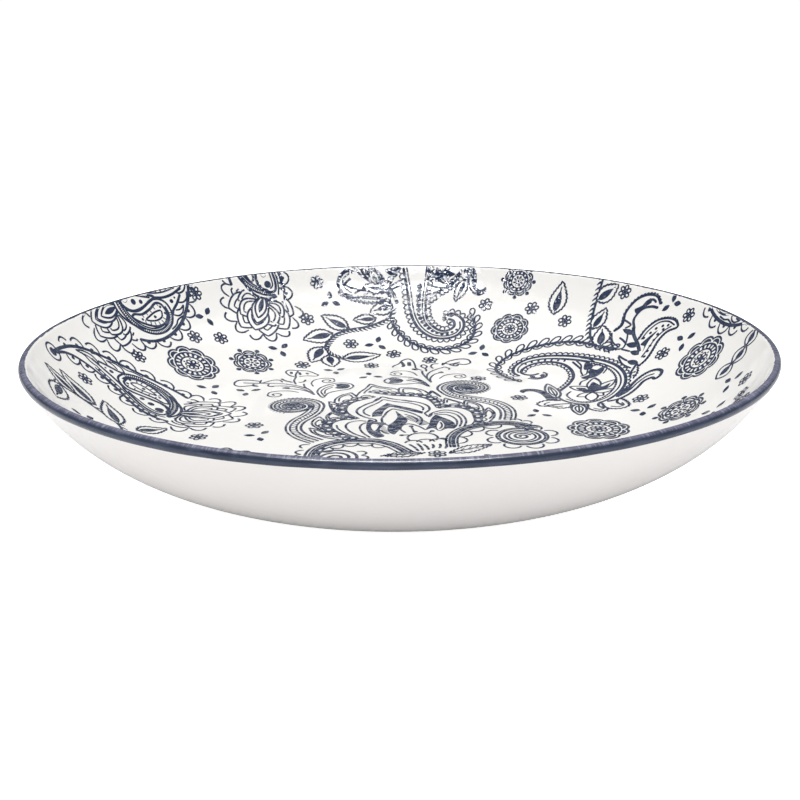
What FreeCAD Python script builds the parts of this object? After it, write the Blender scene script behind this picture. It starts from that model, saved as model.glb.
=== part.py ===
import FreeCAD, Part
import os
import Sketcher

# A shallow 12 inch porcelain serving bowl, standing on its foot ring.
# Every piece is turned about the Z axis, so each one is a half outline (radius, height) revolved once.
# The origin is the centre of the circle that the foot stands on, with +Z up.  Sizes are millimetres.

DRIVING_SIZES = {
    "rim_radius": 152.5,       # outermost point of the lip
    "bowl_height": 50,         # from the foot's rest face to the crest of the lip
    "lip_radius": 1.85,        # rounding of the lip, half the wall's thickness there
    "lip_slope": 61,           # wall slope at the lip, degrees from level
    "wall_radius": 75,         # inside, upper curve
    "wall_slope": 23.5,        # inside slope where the upper curve meets the cove
    "cove_radius": 65,         # inside, curve between the flat floor and the wall
    "shoulder_radius": 88,     # outside, upper curve
    "shoulder_slope": 38,      # outside slope where the upper curve meets the belly
    "belly_radius": 97,        # outside, lower curve
    "belly_slope": 14,         # outside slope where the belly meets the foot
    "foot_outer": 91,          # outer radius of the foot ring
    "foot_inner": 85,          # inner radius of the foot ring
    "foot_rounding": 1.5,      # rounding beside the rest face, and the height left bare of glaze
    "recess_height": 6,        # glazed underside of the floor above the rest face
    "recess_cove": 2,          # pooled glaze in the corner of the recess
    "print_film": 0.1,         # fired transfer film on the inside
    "coat": 0.6,               # glaze, film and band together
    "band_inside_slope": 208,  # where the band stops inside: the crest of the lip is at 180
    "band_outside_slope": 60.7,  # where the painted band stops on the outside
}

doc = FreeCAD.newDocument("serving_bowl")
sheet = doc.addObject("Spreadsheet::Sheet", "sizes")
for row, (alias, value) in enumerate(DRIVING_SIZES.items(), start=1):
    sheet.set(f"A{row}", alias)
    sheet.set(f"B{row}", str(value))
    sheet.setAlias(f"B{row}", alias)
doc.recompute()


def size(alias):
    """The expression that reads one driving size."""
    return f"sizes.{alias}"


def along(start, distance, slope):
    """The point at a distance from start, square to a surface that slopes by that many degrees."""
    radius, height = start
    return (f"{radius} + ({distance}) * sin({slope} * 1 deg)",
            f"{height} - ({distance}) * cos({slope} * 1 deg)")


def number(expression):
    """What an expression comes to now, as a plain number."""
    return float(sheet.evalExpression(expression))


# Centres of the five arcs of the section, worked from the lip down.
LIP_CENTRE = (f"{size('rim_radius')} - {size('lip_radius')}",
              f"{size('bowl_height')} - {size('lip_radius')}")
WALL_CENTRE = along(LIP_CENTRE, f"-{size('wall_radius')} - {size('lip_radius')}", size("lip_slope"))
COVE_CENTRE = along(WALL_CENTRE, f"{size('wall_radius')} - {size('cove_radius')}", size("wall_slope"))
SHOULDER_CENTRE = along(LIP_CENTRE, f"{size('lip_radius')} - {size('shoulder_radius')}", size("lip_slope"))
BELLY_CENTRE = along(SHOULDER_CENTRE, f"{size('shoulder_radius')} - {size('belly_radius')}",
                     size("shoulder_slope"))


def inside(radius_name, slope_name, depth):
    """A point of the inside surface, sunk by a depth into the ware."""
    centre = WALL_CENTRE if radius_name == "wall_radius" else COVE_CENTRE
    return along(centre, f"{size(radius_name)} + {depth}", size(slope_name))


def outside(radius_name, slope_name, depth):
    """A point of the outside surface, sunk by a depth into the ware."""
    centre = SHOULDER_CENTRE if radius_name == "shoulder_radius" else BELLY_CENTRE
    return along(centre, f"{size(radius_name)} - {depth}", size(slope_name))


def lip_point(slope_name, depth):
    """A point of the rounded lip, sunk by a depth. The crest is at 180 degrees, the inside above that."""
    return along(LIP_CENTRE, f"{size('lip_radius')} - {depth}", size(slope_name))


def floor_centre(depth):
    return ("0", f"{COVE_CENTRE[1]} - {size('cove_radius')} - {depth}")


def floor_edge(depth):
    return (COVE_CENTRE[0], floor_centre(depth)[1])


def crest(depth):
    return (LIP_CENTRE[0], f"{size('bowl_height')} - {depth}")


def turned(label, outline):
    """Revolve a closed outline.

    outline is a list of (point, edge): the point where an edge starts, and either "line" or the
    expression of the arc's radius and the point that the arc is centred on.
    """
    body = doc.addObject("PartDesign::Body", label)
    body.Label = label
    sketch = body.newObject("Sketcher::SketchObject", label + "_section")
    plane = next(item for item in body.Origin.OriginFeatures if item.Role == "XZ_Plane")
    sketch.AttachmentSupport = [(plane, "")]
    sketch.MapMode = "FlatFace"

    points = [FreeCAD.Vector(number(point[0]), number(point[1]), 0) for point, _ in outline]
    first_end, last_end = [], []
    for index, (_, edge) in enumerate(outline):
        start, end = points[index], points[(index + 1) % len(points)]
        if edge == "line":
            sketch.addGeometry(Part.LineSegment(start, end), False)
            first_end.append(1)
            last_end.append(2)
            continue
        radius, centre_point = edge
        centre = FreeCAD.Vector(number(centre_point[0]), number(centre_point[1]), 0)
        middle = centre + ((start + end) * 0.5 - centre).normalize() * number(radius)
        arc = sketch.addGeometry(Part.Arc(start, middle, end), False)
        gap_first = sketch.getPoint(arc, 1).distanceToPoint(start)
        gap_second = sketch.getPoint(arc, 2).distanceToPoint(start)
        forwards = gap_first < gap_second
        first_end.append(1 if forwards else 2)
        last_end.append(2 if forwards else 1)
        place = sketch.addConstraint(Sketcher.Constraint("Radius", arc, number(radius)))
        sketch.setExpression(f"Constraints[{place}]", radius)

    for index, (point, _) in enumerate(outline):
        before = index - 1 if index else len(outline) - 1
        sketch.addConstraint(
            Sketcher.Constraint("Coincident", before, last_end[before], index, first_end[index]))
        for kind, expression, axis in (("DistanceX", point[0], -2), ("DistanceY", point[1], -1)):
            if abs(number(expression)) < 1e-9:
                sketch.addConstraint(Sketcher.Constraint("PointOnObject", index, first_end[index], axis))
                continue
            place = sketch.addConstraint(
                Sketcher.Constraint(kind, -1, 1, index, first_end[index], number(expression)))
            sketch.setExpression(f"Constraints[{place}]", expression)

    revolution = body.newObject("PartDesign::Revolution", label + "_turned")
    revolution.Profile = sketch
    revolution.ReferenceAxis = (sketch, ["V_Axis"])
    revolution.Angle = 360.0
    body.Placement = FreeCAD.Placement()
    return body


def inside_arcs(depth):
    """Floor, cove, wall and inner side of the lip at a depth, from the centre out to the band."""
    return [
        (floor_centre(depth), "line"),
        (floor_edge(depth), (f"{size('cove_radius')} + {depth}", COVE_CENTRE)),
        (inside("cove_radius", "wall_slope", depth), (f"{size('wall_radius')} + {depth}", WALL_CENTRE)),
        (inside("wall_radius", "lip_slope", depth), (f"{size('lip_radius')} - {depth}", LIP_CENTRE)),
        (lip_point("band_inside_slope", depth), "line"),
    ]


def inside_arcs_back(depth):
    """The same surface, from the band back to the centre."""
    return [
        (lip_point("band_inside_slope", depth), (f"{size('lip_radius')} - {depth}", LIP_CENTRE)),
        (inside("wall_radius", "lip_slope", depth), (f"{size('wall_radius')} + {depth}", WALL_CENTRE)),
        (inside("cove_radius", "wall_slope", depth), (f"{size('cove_radius')} + {depth}", COVE_CENTRE)),
        (floor_edge(depth), "line"),
        (floor_centre(depth), "line"),
    ]


COAT = size("coat")
FILM = size("print_film")

# The transfer print: one thin film over the whole inside, up to the painted band.
turned("inner_print", inside_arcs("0") + inside_arcs_back(FILM))

# White glaze under the film, on the porcelain.
turned("inner_glaze", inside_arcs(FILM) + inside_arcs_back(COAT))

# The painted band: from just inside the crest, over the lip and a little way down the outside.
LIP_COATED = size("lip_radius")
LIP_BARE = f"{size('lip_radius')} - {COAT}"
turned("rim_band", [
    (lip_point("band_inside_slope", "0"), (LIP_COATED, LIP_CENTRE)),
    (crest("0"), (LIP_COATED, LIP_CENTRE)),
    (outside("shoulder_radius", "lip_slope", "0"), (size("shoulder_radius"), SHOULDER_CENTRE)),
    (outside("shoulder_radius", "band_outside_slope", "0"), "line"),
    (outside("shoulder_radius", "band_outside_slope", COAT),
     (f"{size('shoulder_radius')} - {COAT}", SHOULDER_CENTRE)),
    (outside("shoulder_radius", "lip_slope", COAT), (LIP_BARE, LIP_CENTRE)),
    (crest(COAT), (LIP_BARE, LIP_CENTRE)),
    (lip_point("band_inside_slope", COAT), "line"),
])

# White glaze on the outside, from the band down to the bare edge of the foot.
FOOT_SIDE = size("foot_outer")
BARE_HEIGHT = size("foot_rounding")
BELLY_END = outside("belly_radius", "belly_slope", COAT)
turned("outer_glaze", [
    (outside("shoulder_radius", "band_outside_slope", "0"), (size("shoulder_radius"), SHOULDER_CENTRE)),
    (outside("shoulder_radius", "shoulder_slope", "0"), (size("belly_radius"), BELLY_CENTRE)),
    (outside("belly_radius", "belly_slope", "0"), "line"),
    ((f"{FOOT_SIDE} + {COAT}", BARE_HEIGHT), "line"),
    ((FOOT_SIDE, BARE_HEIGHT), "line"),
    ((FOOT_SIDE, BELLY_END[1]), "line"),
    (BELLY_END, (f"{size('belly_radius')} - {COAT}", BELLY_CENTRE)),
    (outside("shoulder_radius", "shoulder_slope", COAT),
     (f"{size('shoulder_radius')} - {COAT}", SHOULDER_CENTRE)),
    (outside("shoulder_radius", "band_outside_slope", COAT), "line"),
])

# The porcelain itself, under every coat.
FLOOR_UNDERSIDE = f"{size('recess_height')} + {COAT}"
turned("porcelain_body", inside_arcs(COAT)[:-1] + [
    (crest(COAT), (LIP_BARE, LIP_CENTRE)),
    (outside("shoulder_radius", "lip_slope", COAT),
     (f"{size('shoulder_radius')} - {COAT}", SHOULDER_CENTRE)),
    (outside("shoulder_radius", "shoulder_slope", COAT),
     (f"{size('belly_radius')} - {COAT}", BELLY_CENTRE)),
    (BELLY_END, "line"),
    ((FOOT_SIDE, BELLY_END[1]), "line"),
    ((FOOT_SIDE, FLOOR_UNDERSIDE), "line"),
    (("0", FLOOR_UNDERSIDE), "line"),
])

# The foot ring, let into the underside, with a bare rounded edge that the bowl stands on.
FOOT_INSIDE = size("foot_inner")
turned("foot_ring", [
    ((FOOT_INSIDE, FLOOR_UNDERSIDE), "line"),
    ((FOOT_SIDE, FLOOR_UNDERSIDE), "line"),
    ((FOOT_SIDE, BARE_HEIGHT), (BARE_HEIGHT, (f"{FOOT_SIDE} - {BARE_HEIGHT}", BARE_HEIGHT))),
    ((f"{FOOT_SIDE} - {BARE_HEIGHT}", "0"), "line"),
    ((f"{FOOT_INSIDE} + {BARE_HEIGHT}", "0"), (BARE_HEIGHT, (f"{FOOT_INSIDE} + {BARE_HEIGHT}", BARE_HEIGHT))),
    ((FOOT_INSIDE, BARE_HEIGHT), "line"),
])

# Glaze under the floor, running down the inner side of the foot ring with a pooled corner.
GLAZED_SIDE = f"{FOOT_INSIDE} - {COAT}"
COVE = size("recess_cove")
turned("recess_glaze", [
    (("0", FLOOR_UNDERSIDE), "line"),
    ((FOOT_INSIDE, FLOOR_UNDERSIDE), "line"),
    ((FOOT_INSIDE, BARE_HEIGHT), "line"),
    ((GLAZED_SIDE, BARE_HEIGHT), "line"),
    ((GLAZED_SIDE, f"{size('recess_height')} - {COVE}"),
     (COVE, (f"{GLAZED_SIDE} - {COVE}", f"{size('recess_height')} - {COVE}"))),
    ((f"{GLAZED_SIDE} - {COVE}", size("recess_height")), "line"),
    (("0", size("recess_height")), "line"),
])

doc.recompute()

pieces = [item for item in doc.Objects if item.TypeId == "PartDesign::Body"]
for item in doc.Objects:
    if "Invalid" in item.State or "Error" in item.State:
        raise RuntimeError(f"{item.Name} did not recompute: {item.State}")
for piece in pieces:
    if piece.Shape.isNull() or not piece.Shape.isValid() or len(piece.Shape.Solids) != 1:
        raise RuntimeError(f"{piece.Label} is not one valid solid")

os.makedirs("parts", exist_ok=True)
for piece in pieces:
    piece.Shape.exportStep(f"parts/{piece.Label}.step")
    box = piece.Shape.optimalBoundingBox()
    print(f"{piece.Label}: {piece.Shape.Volume / 1000:.2f} cm3, radius {box.XMax:.2f} mm,"
          f" height {box.ZMin:.2f} to {box.ZMax:.2f} mm")
print(f"inside floor: radius {number(COVE_CENTRE[0]):.2f} mm at height {number(floor_centre('0')[1]):.2f} mm")
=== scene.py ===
# %% [markdown]
# # A blue and white serving bowl
#
# The real thing is one piece of pressed and fired porcelain, 305 mm across and 50 mm high.
# It is coated with white glaze, printed inside with a dense garden of paisleys and flowers,
# and finished by hand with a blue band on the lip.
# This lesson builds those skins around the finished design, which is loaded first and never changed.
# Everything is turned about the upright axis, so one section through the wall does most of the work.

import math
from contextlib import contextmanager

import bpy
import numpy as np
from mathutils import Matrix, Vector
from mathutils.geometry import delaunay_2d_cdt


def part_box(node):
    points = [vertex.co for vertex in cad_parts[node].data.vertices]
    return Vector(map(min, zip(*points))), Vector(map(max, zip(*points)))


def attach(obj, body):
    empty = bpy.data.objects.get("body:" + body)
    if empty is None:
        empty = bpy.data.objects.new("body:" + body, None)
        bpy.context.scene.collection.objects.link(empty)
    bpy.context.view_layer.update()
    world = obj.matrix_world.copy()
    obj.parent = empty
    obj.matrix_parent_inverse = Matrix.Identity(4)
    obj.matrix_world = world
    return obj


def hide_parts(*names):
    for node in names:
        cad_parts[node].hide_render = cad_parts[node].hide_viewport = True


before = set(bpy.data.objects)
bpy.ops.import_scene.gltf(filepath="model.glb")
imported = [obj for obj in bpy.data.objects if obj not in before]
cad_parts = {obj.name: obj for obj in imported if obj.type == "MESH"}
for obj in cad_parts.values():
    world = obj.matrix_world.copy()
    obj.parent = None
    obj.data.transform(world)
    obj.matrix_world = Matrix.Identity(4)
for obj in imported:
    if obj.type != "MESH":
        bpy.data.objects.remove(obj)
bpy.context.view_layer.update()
print("pieces of the design:", ", ".join(sorted(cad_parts)))

# %% [markdown]
# ## The section of the bowl
#
# Cut in half, the real bowl shows a flat floor, a cove, a wall that steepens to a rounded lip,
# and two long curves outside that run down to the foot ring.
# It could be traced point by point, but the curves are plain arcs that flow into each other,
# so a handful of radii and slopes says all of it and stays perfectly smooth.
# A point of the section is one complex number: the radius plus 1j times the height, in millimetres.

# %% Driving sizes, in millimetres and degrees
MM = 0.001
RIM_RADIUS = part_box("rim_band")[1][0] / MM
BOWL_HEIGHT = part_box("rim_band")[1][2] / MM
LIP_RADIUS, LIP_SLOPE = 1.85, 61.0
WALL_RADIUS, WALL_SLOPE = 75.0, 23.5
COVE_RADIUS = 65.0
SHOULDER_RADIUS, SHOULDER_SLOPE = 88.0, 38.0
BELLY_RADIUS, BELLY_SLOPE = 97.0, 14.0
FOOT_OUTER, FOOT_INNER, FOOT_ROUNDING = 91.0, 85.0, 1.5
RECESS_HEIGHT, RECESS_COVE = 6.0, 2.0
COAT, FILM = 0.6, 0.1
BAND_INSIDE, BAND_OUTSIDE = 208.0, 60.7     # the crest of the lip is at 180, its inside above that


def down(slope):
    """The direction from an arc's centre to the place where the section slopes by that much."""
    return -1j * np.exp(1j * np.radians(slope))


LIP_CENTRE = RIM_RADIUS - LIP_RADIUS + 1j * (BOWL_HEIGHT - LIP_RADIUS)
WALL_CENTRE = LIP_CENTRE - (WALL_RADIUS + LIP_RADIUS) * down(LIP_SLOPE)
COVE_CENTRE = WALL_CENTRE + (WALL_RADIUS - COVE_RADIUS) * down(WALL_SLOPE)
SHOULDER_CENTRE = LIP_CENTRE - (SHOULDER_RADIUS - LIP_RADIUS) * down(LIP_SLOPE)
BELLY_CENTRE = SHOULDER_CENTRE - (BELLY_RADIUS - SHOULDER_RADIUS) * down(SHOULDER_SLOPE)
FLOOR_RADIUS = COVE_CENTRE.real
FLOOR_HEIGHT = COVE_CENTRE.imag - COVE_RADIUS


def bend(centre, radius, from_slope, to_slope, steps):
    """Points along one arc of the section, at even slopes."""
    return centre + radius * down(np.linspace(from_slope, to_slope, steps + 1))


def run(start, end, steps=1):
    """Points along a straight stretch of the section."""
    return start + (end - start) * np.linspace(0, 1, steps + 1)


def joined(*stretches):
    """One outline from stretches that meet, without the doubled points."""
    points = np.concatenate([np.atleast_1d(stretch) for stretch in stretches])
    keep = np.append(True, np.abs(np.diff(points)) > 1e-6)
    return points[keep]


def lip(depth, from_slope, to_slope, steps):
    """Part of the rounded lip. Its inside is at LIP_SLOPE + 180 and its outside at LIP_SLOPE."""
    return bend(LIP_CENTRE, LIP_RADIUS - depth, from_slope, to_slope, steps)


print(f"flat floor: radius {FLOOR_RADIUS:.1f} mm at height {FLOOR_HEIGHT:.2f} mm")

# %% [markdown]
# ## Turning a section
#
# A potter turns the ware on a wheel, and a closed half outline revolved once does the same.
# The screw modifier could spin it, but rows of points made directly give a clean grid
# with a single point at the middle and as many steps as the soft reflections need.

# %% The turning wheel
STEPS_ROUND = 720


def make_mesh(name, points, faces, normals=None):
    """A shaded object from points in millimetres."""
    mesh = bpy.data.meshes.new(name)
    mesh.from_pydata((points * MM).tolist(), [], faces)
    mesh.shade_smooth()
    if normals is None:
        mesh.set_sharp_from_angle(angle=math.radians(40))
    else:
        mesh.normals_split_custom_set_from_vertices(normals.tolist())
    piece = bpy.data.objects.new(name, mesh)
    bpy.context.scene.collection.objects.link(piece)
    return piece


def turned(name, outline, wobble=None):
    """Revolve an outline. It is closed by itself, or starts and ends on the axis."""
    around = np.arange(STEPS_ROUND) * 2 * np.pi / STEPS_ROUND
    rings, points, count = [], [], 0
    for step, place in enumerate(outline):
        if place.real < 1e-6:
            rings.append([count] * STEPS_ROUND)
            points.append([[0, 0, place.imag]])
            count += 1
            continue
        ring = np.full(STEPS_ROUND, place)
        if wobble is not None:
            ring = wobble(step, ring, around)
        rings.append(list(range(count, count + STEPS_ROUND)))
        points.append(np.column_stack([ring.real * np.cos(around), ring.real * np.sin(around), ring.imag]))
        count += STEPS_ROUND
    closed = outline[0].real > 1e-6
    pairs = list(zip(rings, rings[1:] + rings[:1])) if closed else list(zip(rings, rings[1:]))
    faces = []
    for low, high in pairs:
        for here in range(STEPS_ROUND):
            there = (here + 1) % STEPS_ROUND
            corners = (low[here], high[here], high[there], low[there])
            faces.append(tuple(dict.fromkeys(corners)))
    piece = make_mesh(name, np.concatenate(points), faces)
    print(f"{name}: {len(faces)} faces")
    return piece


# %% [markdown]
# ## Shared finishes
#
# Three effects turn up on several parts of the ware, so each is a node group.
# Fired mottle is the slow change of tone that a kiln leaves in every glaze.
# Kiln specks are the few tiny iron spots and pinholes in a white glaze.
# Brush lines run round the bowl, as a brush or a grinding belt leaves them while the ware turns.
# Image maps could hold these, but noise in the ware's own space needs no map and has no seam.

# %% Helpers for building node groups
def new_group(name, inputs, outputs):
    """An empty shader group with named sockets. Inputs are (kind, name, value), outputs (kind, name)."""
    group = bpy.data.node_groups.new(name, "ShaderNodeTree")
    for kind, label, value in inputs:
        socket = group.interface.new_socket(label, in_out="INPUT", socket_type=f"NodeSocket{kind}")
        socket.default_value = value
    for kind, label in outputs:
        group.interface.new_socket(label, in_out="OUTPUT", socket_type=f"NodeSocket{kind}")
    return group, group.nodes.new("NodeGroupInput"), group.nodes.new("NodeGroupOutput")


def add(tree, kind, sets=None, **links):
    """A node with some sockets set to values and some linked. Names use _ for a space."""
    node = tree.nodes.new(f"ShaderNode{kind}")
    for key, value in (sets or {}).items():
        if key in node.inputs:
            node.inputs[key].default_value = value
        else:
            setattr(node, key, value)
    for key, source in links.items():
        tree.links.new(source, node.inputs[key.replace("_", " ")])
    return node


def math_node(tree, operation, first, second=None):
    """One sum. Each term is a socket or a number."""
    node = tree.nodes.new("ShaderNodeMath")
    node.operation = operation
    for place, term in enumerate((first, second)):
        if term is None:
            continue
        if isinstance(term, (int, float)):
            node.inputs[place].default_value = term
        else:
            tree.links.new(term, node.inputs[place])
    return node.outputs[0]


def mix_colours(tree, mask, first, second):
    """Blend two colours by a mask. Each is a socket or a colour."""
    node = tree.nodes.new("ShaderNodeMix")
    node.data_type = "RGBA"
    tree.links.new(mask, node.inputs["Factor"])
    for label, colour in (("A", first), ("B", second)):
        socket = [item for item in node.inputs if item.name == label and item.type == "RGBA"][0]
        if isinstance(colour, tuple):
            socket.default_value = colour
        else:
            tree.links.new(colour, socket)
    return next(item for item in node.outputs if item.type == "RGBA")


def ramp(tree, value, low, high):
    """Stretch the range low to high of a value to 0 to 1, and clip the rest."""
    node = add(tree, "MapRange", {"From Min": low, "From Max": high}, Value=value)
    return node.outputs[0]


# %% Fired mottle
def build_mottle():
    group, start, end = new_group(
        "fired_mottle",
        [("Color", "Tone", (1, 1, 1, 1)), ("Color", "Second tone", (1, 1, 1, 1)),
         ("Float", "Patches per metre", 30.0), ("Float", "Grain per metre", 900.0)],
        [("Color", "Colour"), ("Float", "Patches"), ("Float", "Grain")])
    place = add(group, "TexCoord").outputs["Object"]
    patches = add(group, "TexNoise", {"Detail": 3.0}, Vector=place, Scale=start.outputs[2])
    grain = add(group, "TexNoise", {"Detail": 2.0}, Vector=place, Scale=start.outputs[3])
    mask = ramp(group, patches.outputs[0], 0.3, 0.7)
    colour = mix_colours(group, mask, start.outputs[0], start.outputs[1])
    group.links.new(colour, end.inputs["Colour"])
    group.links.new(mask, end.inputs["Patches"])
    group.links.new(grain.outputs[0], end.inputs["Grain"])
    return group


# %% Kiln specks
def build_specks():
    group, start, end = new_group(
        "kiln_specks",
        [("Color", "Colour", (1, 1, 1, 1)), ("Color", "Speck colour", (0.3, 0.2, 0.15, 1)),
         ("Float", "Specks per metre", 60.0), ("Float", "Speck size", 0.02)],
        [("Color", "Colour"), ("Float", "Specks")])
    place = add(group, "TexCoord").outputs["Object"]
    cells = add(group, "TexVoronoi", {"Randomness": 1.0}, Vector=place, Scale=start.outputs[2])
    gap = math_node(group, "SUBTRACT", start.outputs[3], cells.outputs["Distance"])
    mask = ramp(group, math_node(group, "DIVIDE", gap, start.outputs[3]), 0.0, 0.5)
    colour = mix_colours(group, mask, start.outputs[0], start.outputs[1])
    group.links.new(colour, end.inputs["Colour"])
    group.links.new(mask, end.inputs["Specks"])
    return group


# %% Brush lines that follow the turning
def build_brush_lines():
    group, start, end = new_group(
        "brush_lines",
        [("Float", "Lines per metre", 900.0), ("Float", "Strokes per turn", 14.0)],
        [("Float", "Lines"), ("Float", "Blotches")])
    place = add(group, "SeparateXYZ", Vector=add(group, "TexCoord").outputs["Object"]).outputs
    across = math_node(group, "MULTIPLY", place[0], place[0])
    deep = math_node(group, "MULTIPLY", place[1], place[1])
    radius = math_node(group, "SQRT", math_node(group, "ADD", across, deep))
    turn_x = math_node(group, "MULTIPLY", math_node(group, "DIVIDE", place[0], radius), start.outputs[1])
    turn_y = math_node(group, "MULTIPLY", math_node(group, "DIVIDE", place[1], radius), start.outputs[1])
    line = math_node(group, "MULTIPLY", math_node(group, "ADD", radius, place[2]), start.outputs[0])
    fine = add(group, "CombineXYZ", X=turn_x, Y=turn_y, Z=line).outputs[0]
    lines = add(group, "TexNoise", {"Scale": 1.0, "Detail": 4.0, "Roughness": 0.6}, Vector=fine)
    slow = math_node(group, "MULTIPLY", line, 0.12)
    coarse = add(group, "CombineXYZ", X=turn_x, Y=turn_y, Z=slow).outputs[0]
    blotches = add(group, "TexNoise", {"Scale": 1.0, "Detail": 3.0}, Vector=coarse)
    group.links.new(lines.outputs[0], end.inputs["Lines"])
    group.links.new(blotches.outputs[0], end.inputs["Blotches"])
    return group


MOTTLE = build_mottle()
SPECKS = build_specks()
BRUSH_LINES = build_brush_lines()
print("shared finishes:", MOTTLE.name, SPECKS.name, BRUSH_LINES.name)


# %% Helpers for materials
def new_material(name, **constants):
    """A material with its shader's constants set on the shader's own sockets."""
    material = bpy.data.materials.new(name)
    material.use_nodes = True
    tree = material.node_tree
    shader = tree.nodes["Principled BSDF"]
    for key, value in constants.items():
        shader.inputs[key.replace("_", " ")].default_value = value
    return material, tree, shader


def place_group(tree, group, **values):
    """Put a shared finish in a material, with its own values."""
    node = tree.nodes.new("ShaderNodeGroup")
    node.node_tree = group
    for key, value in values.items():
        socket = node.inputs[key.replace("_", " ")]
        if hasattr(value, "is_output"):
            tree.links.new(value, socket)
        else:
            socket.default_value = value
    return node


def bump(tree, shader, height, distance):
    """Relief under the shading, with its depth in metres."""
    node = add(tree, "Bump", {"Strength": 1.0, "Distance": distance}, Height=height)
    tree.links.new(node.outputs[0], shader.inputs["Normal"])


def dress(piece, *materials):
    """Give a piece its materials."""
    piece.data.materials.clear()
    for material in materials:
        piece.data.materials.append(material)


# %% [markdown]
# ## White glaze, porcelain and the bare foot
#
# Inside, the glaze is a warm white and very glossy. Outside it is made a little cooler and greyer, which is
# painted shade on the outer wall, turned away from the overhead light.
# Two separate node trees would do, but it is one glaze, so one function makes both.
# The porcelain under the coats is never seen except where the foot is left bare and ground flat,
# so it stays matt, with a fine grain, and the foot adds the marks of the grinding.

# %% White glaze, inside and outside
def glaze_material(name, tone, second_tone):
    material, tree, shader = new_material(name, IOR=1.5)
    mottle = place_group(tree, MOTTLE, Tone=tone, Second_tone=second_tone, Patches_per_metre=22.0,
                         Grain_per_metre=260.0)
    specks = place_group(tree, SPECKS, Colour=mottle.outputs["Colour"], Speck_colour=(0.30, 0.24, 0.19, 1),
                         Specks_per_metre=38.0, Speck_size=0.008)
    tree.links.new(specks.outputs["Colour"], shader.inputs["Base Color"])
    roughness = add(tree, "MapRange", {"To Min": 0.07, "To Max": 0.12}, Value=mottle.outputs["Patches"])
    tree.links.new(roughness.outputs[0], shader.inputs["Roughness"])
    bump(tree, shader, mottle.outputs["Grain"], 0.00004)
    return material


glaze_inside = glaze_material("white_glaze_inside", (0.905, 0.895, 0.870, 1), (0.885, 0.875, 0.850, 1))
# The outside tones are darker than the inside ones: painted shade for the outer wall and the recess under
# the bowl.
glaze_outside = glaze_material("white_glaze_outside", (0.875, 0.85, 0.83, 1), (0.85, 0.825, 0.81, 1))


# %% Porcelain under the glaze, and the ground foot
def bisque_material(name, tone, second_tone, grinding):
    material, tree, shader = new_material(name)
    mottle = place_group(tree, MOTTLE, Tone=tone, Second_tone=second_tone, Patches_per_metre=60.0,
                         Grain_per_metre=2500.0)
    lines = place_group(tree, BRUSH_LINES, Lines_per_metre=2600.0, Strokes_per_turn=60.0)
    worn = math_node(tree, "MULTIPLY", ramp(tree, lines.outputs["Lines"], 0.45, 0.75), grinding)
    colour = mix_colours(tree, worn, mottle.outputs["Colour"], (0.50, 0.47, 0.43, 1))
    tree.links.new(colour, shader.inputs["Base Color"])
    rough = add(tree, "MapRange", {"To Min": 0.62, "To Max": 0.85}, Value=mottle.outputs["Grain"])
    tree.links.new(rough.outputs[0], shader.inputs["Roughness"])
    relief = math_node(tree, "ADD", mottle.outputs["Grain"], worn)
    bump(tree, shader, relief, 0.00006)
    return material


porcelain = bisque_material("porcelain_bisque", (0.80, 0.78, 0.75, 1), (0.74, 0.72, 0.69, 1), 0.0)
bare_foot = bisque_material("bare_ground_foot", (0.76, 0.73, 0.69, 1), (0.68, 0.65, 0.61, 1), 0.55)

# %% [markdown]
# ## The painted band and the printed ink
# On the near side of the lip, that paler crest is also a painted highlight for the light caught on the
# rounded crest.
#
# The band is laid on by hand while the bowl turns, so it shows brush lines round the lip
# and it thins over the crest, where the glaze shows a paler violet grey.
# The print is a decal of the same slate blue, a little uneven where the colour lay thicker.
# Both are fired under a clear gloss, so they shine as the white glaze does.

# %% Painted band
THIN_BELOW, THINNEST_BELOW = 0.75, 0.05     # where the paint thins and, on the near side, the painted highlight lies, in millimetres under the crest
NEAR_HIGHLIGHT_FROM, NEAR_HIGHLIGHT_TO = 40.0, -60.0              # painted highlight: the paler crest fades in from back to front, in millimetres


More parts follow.
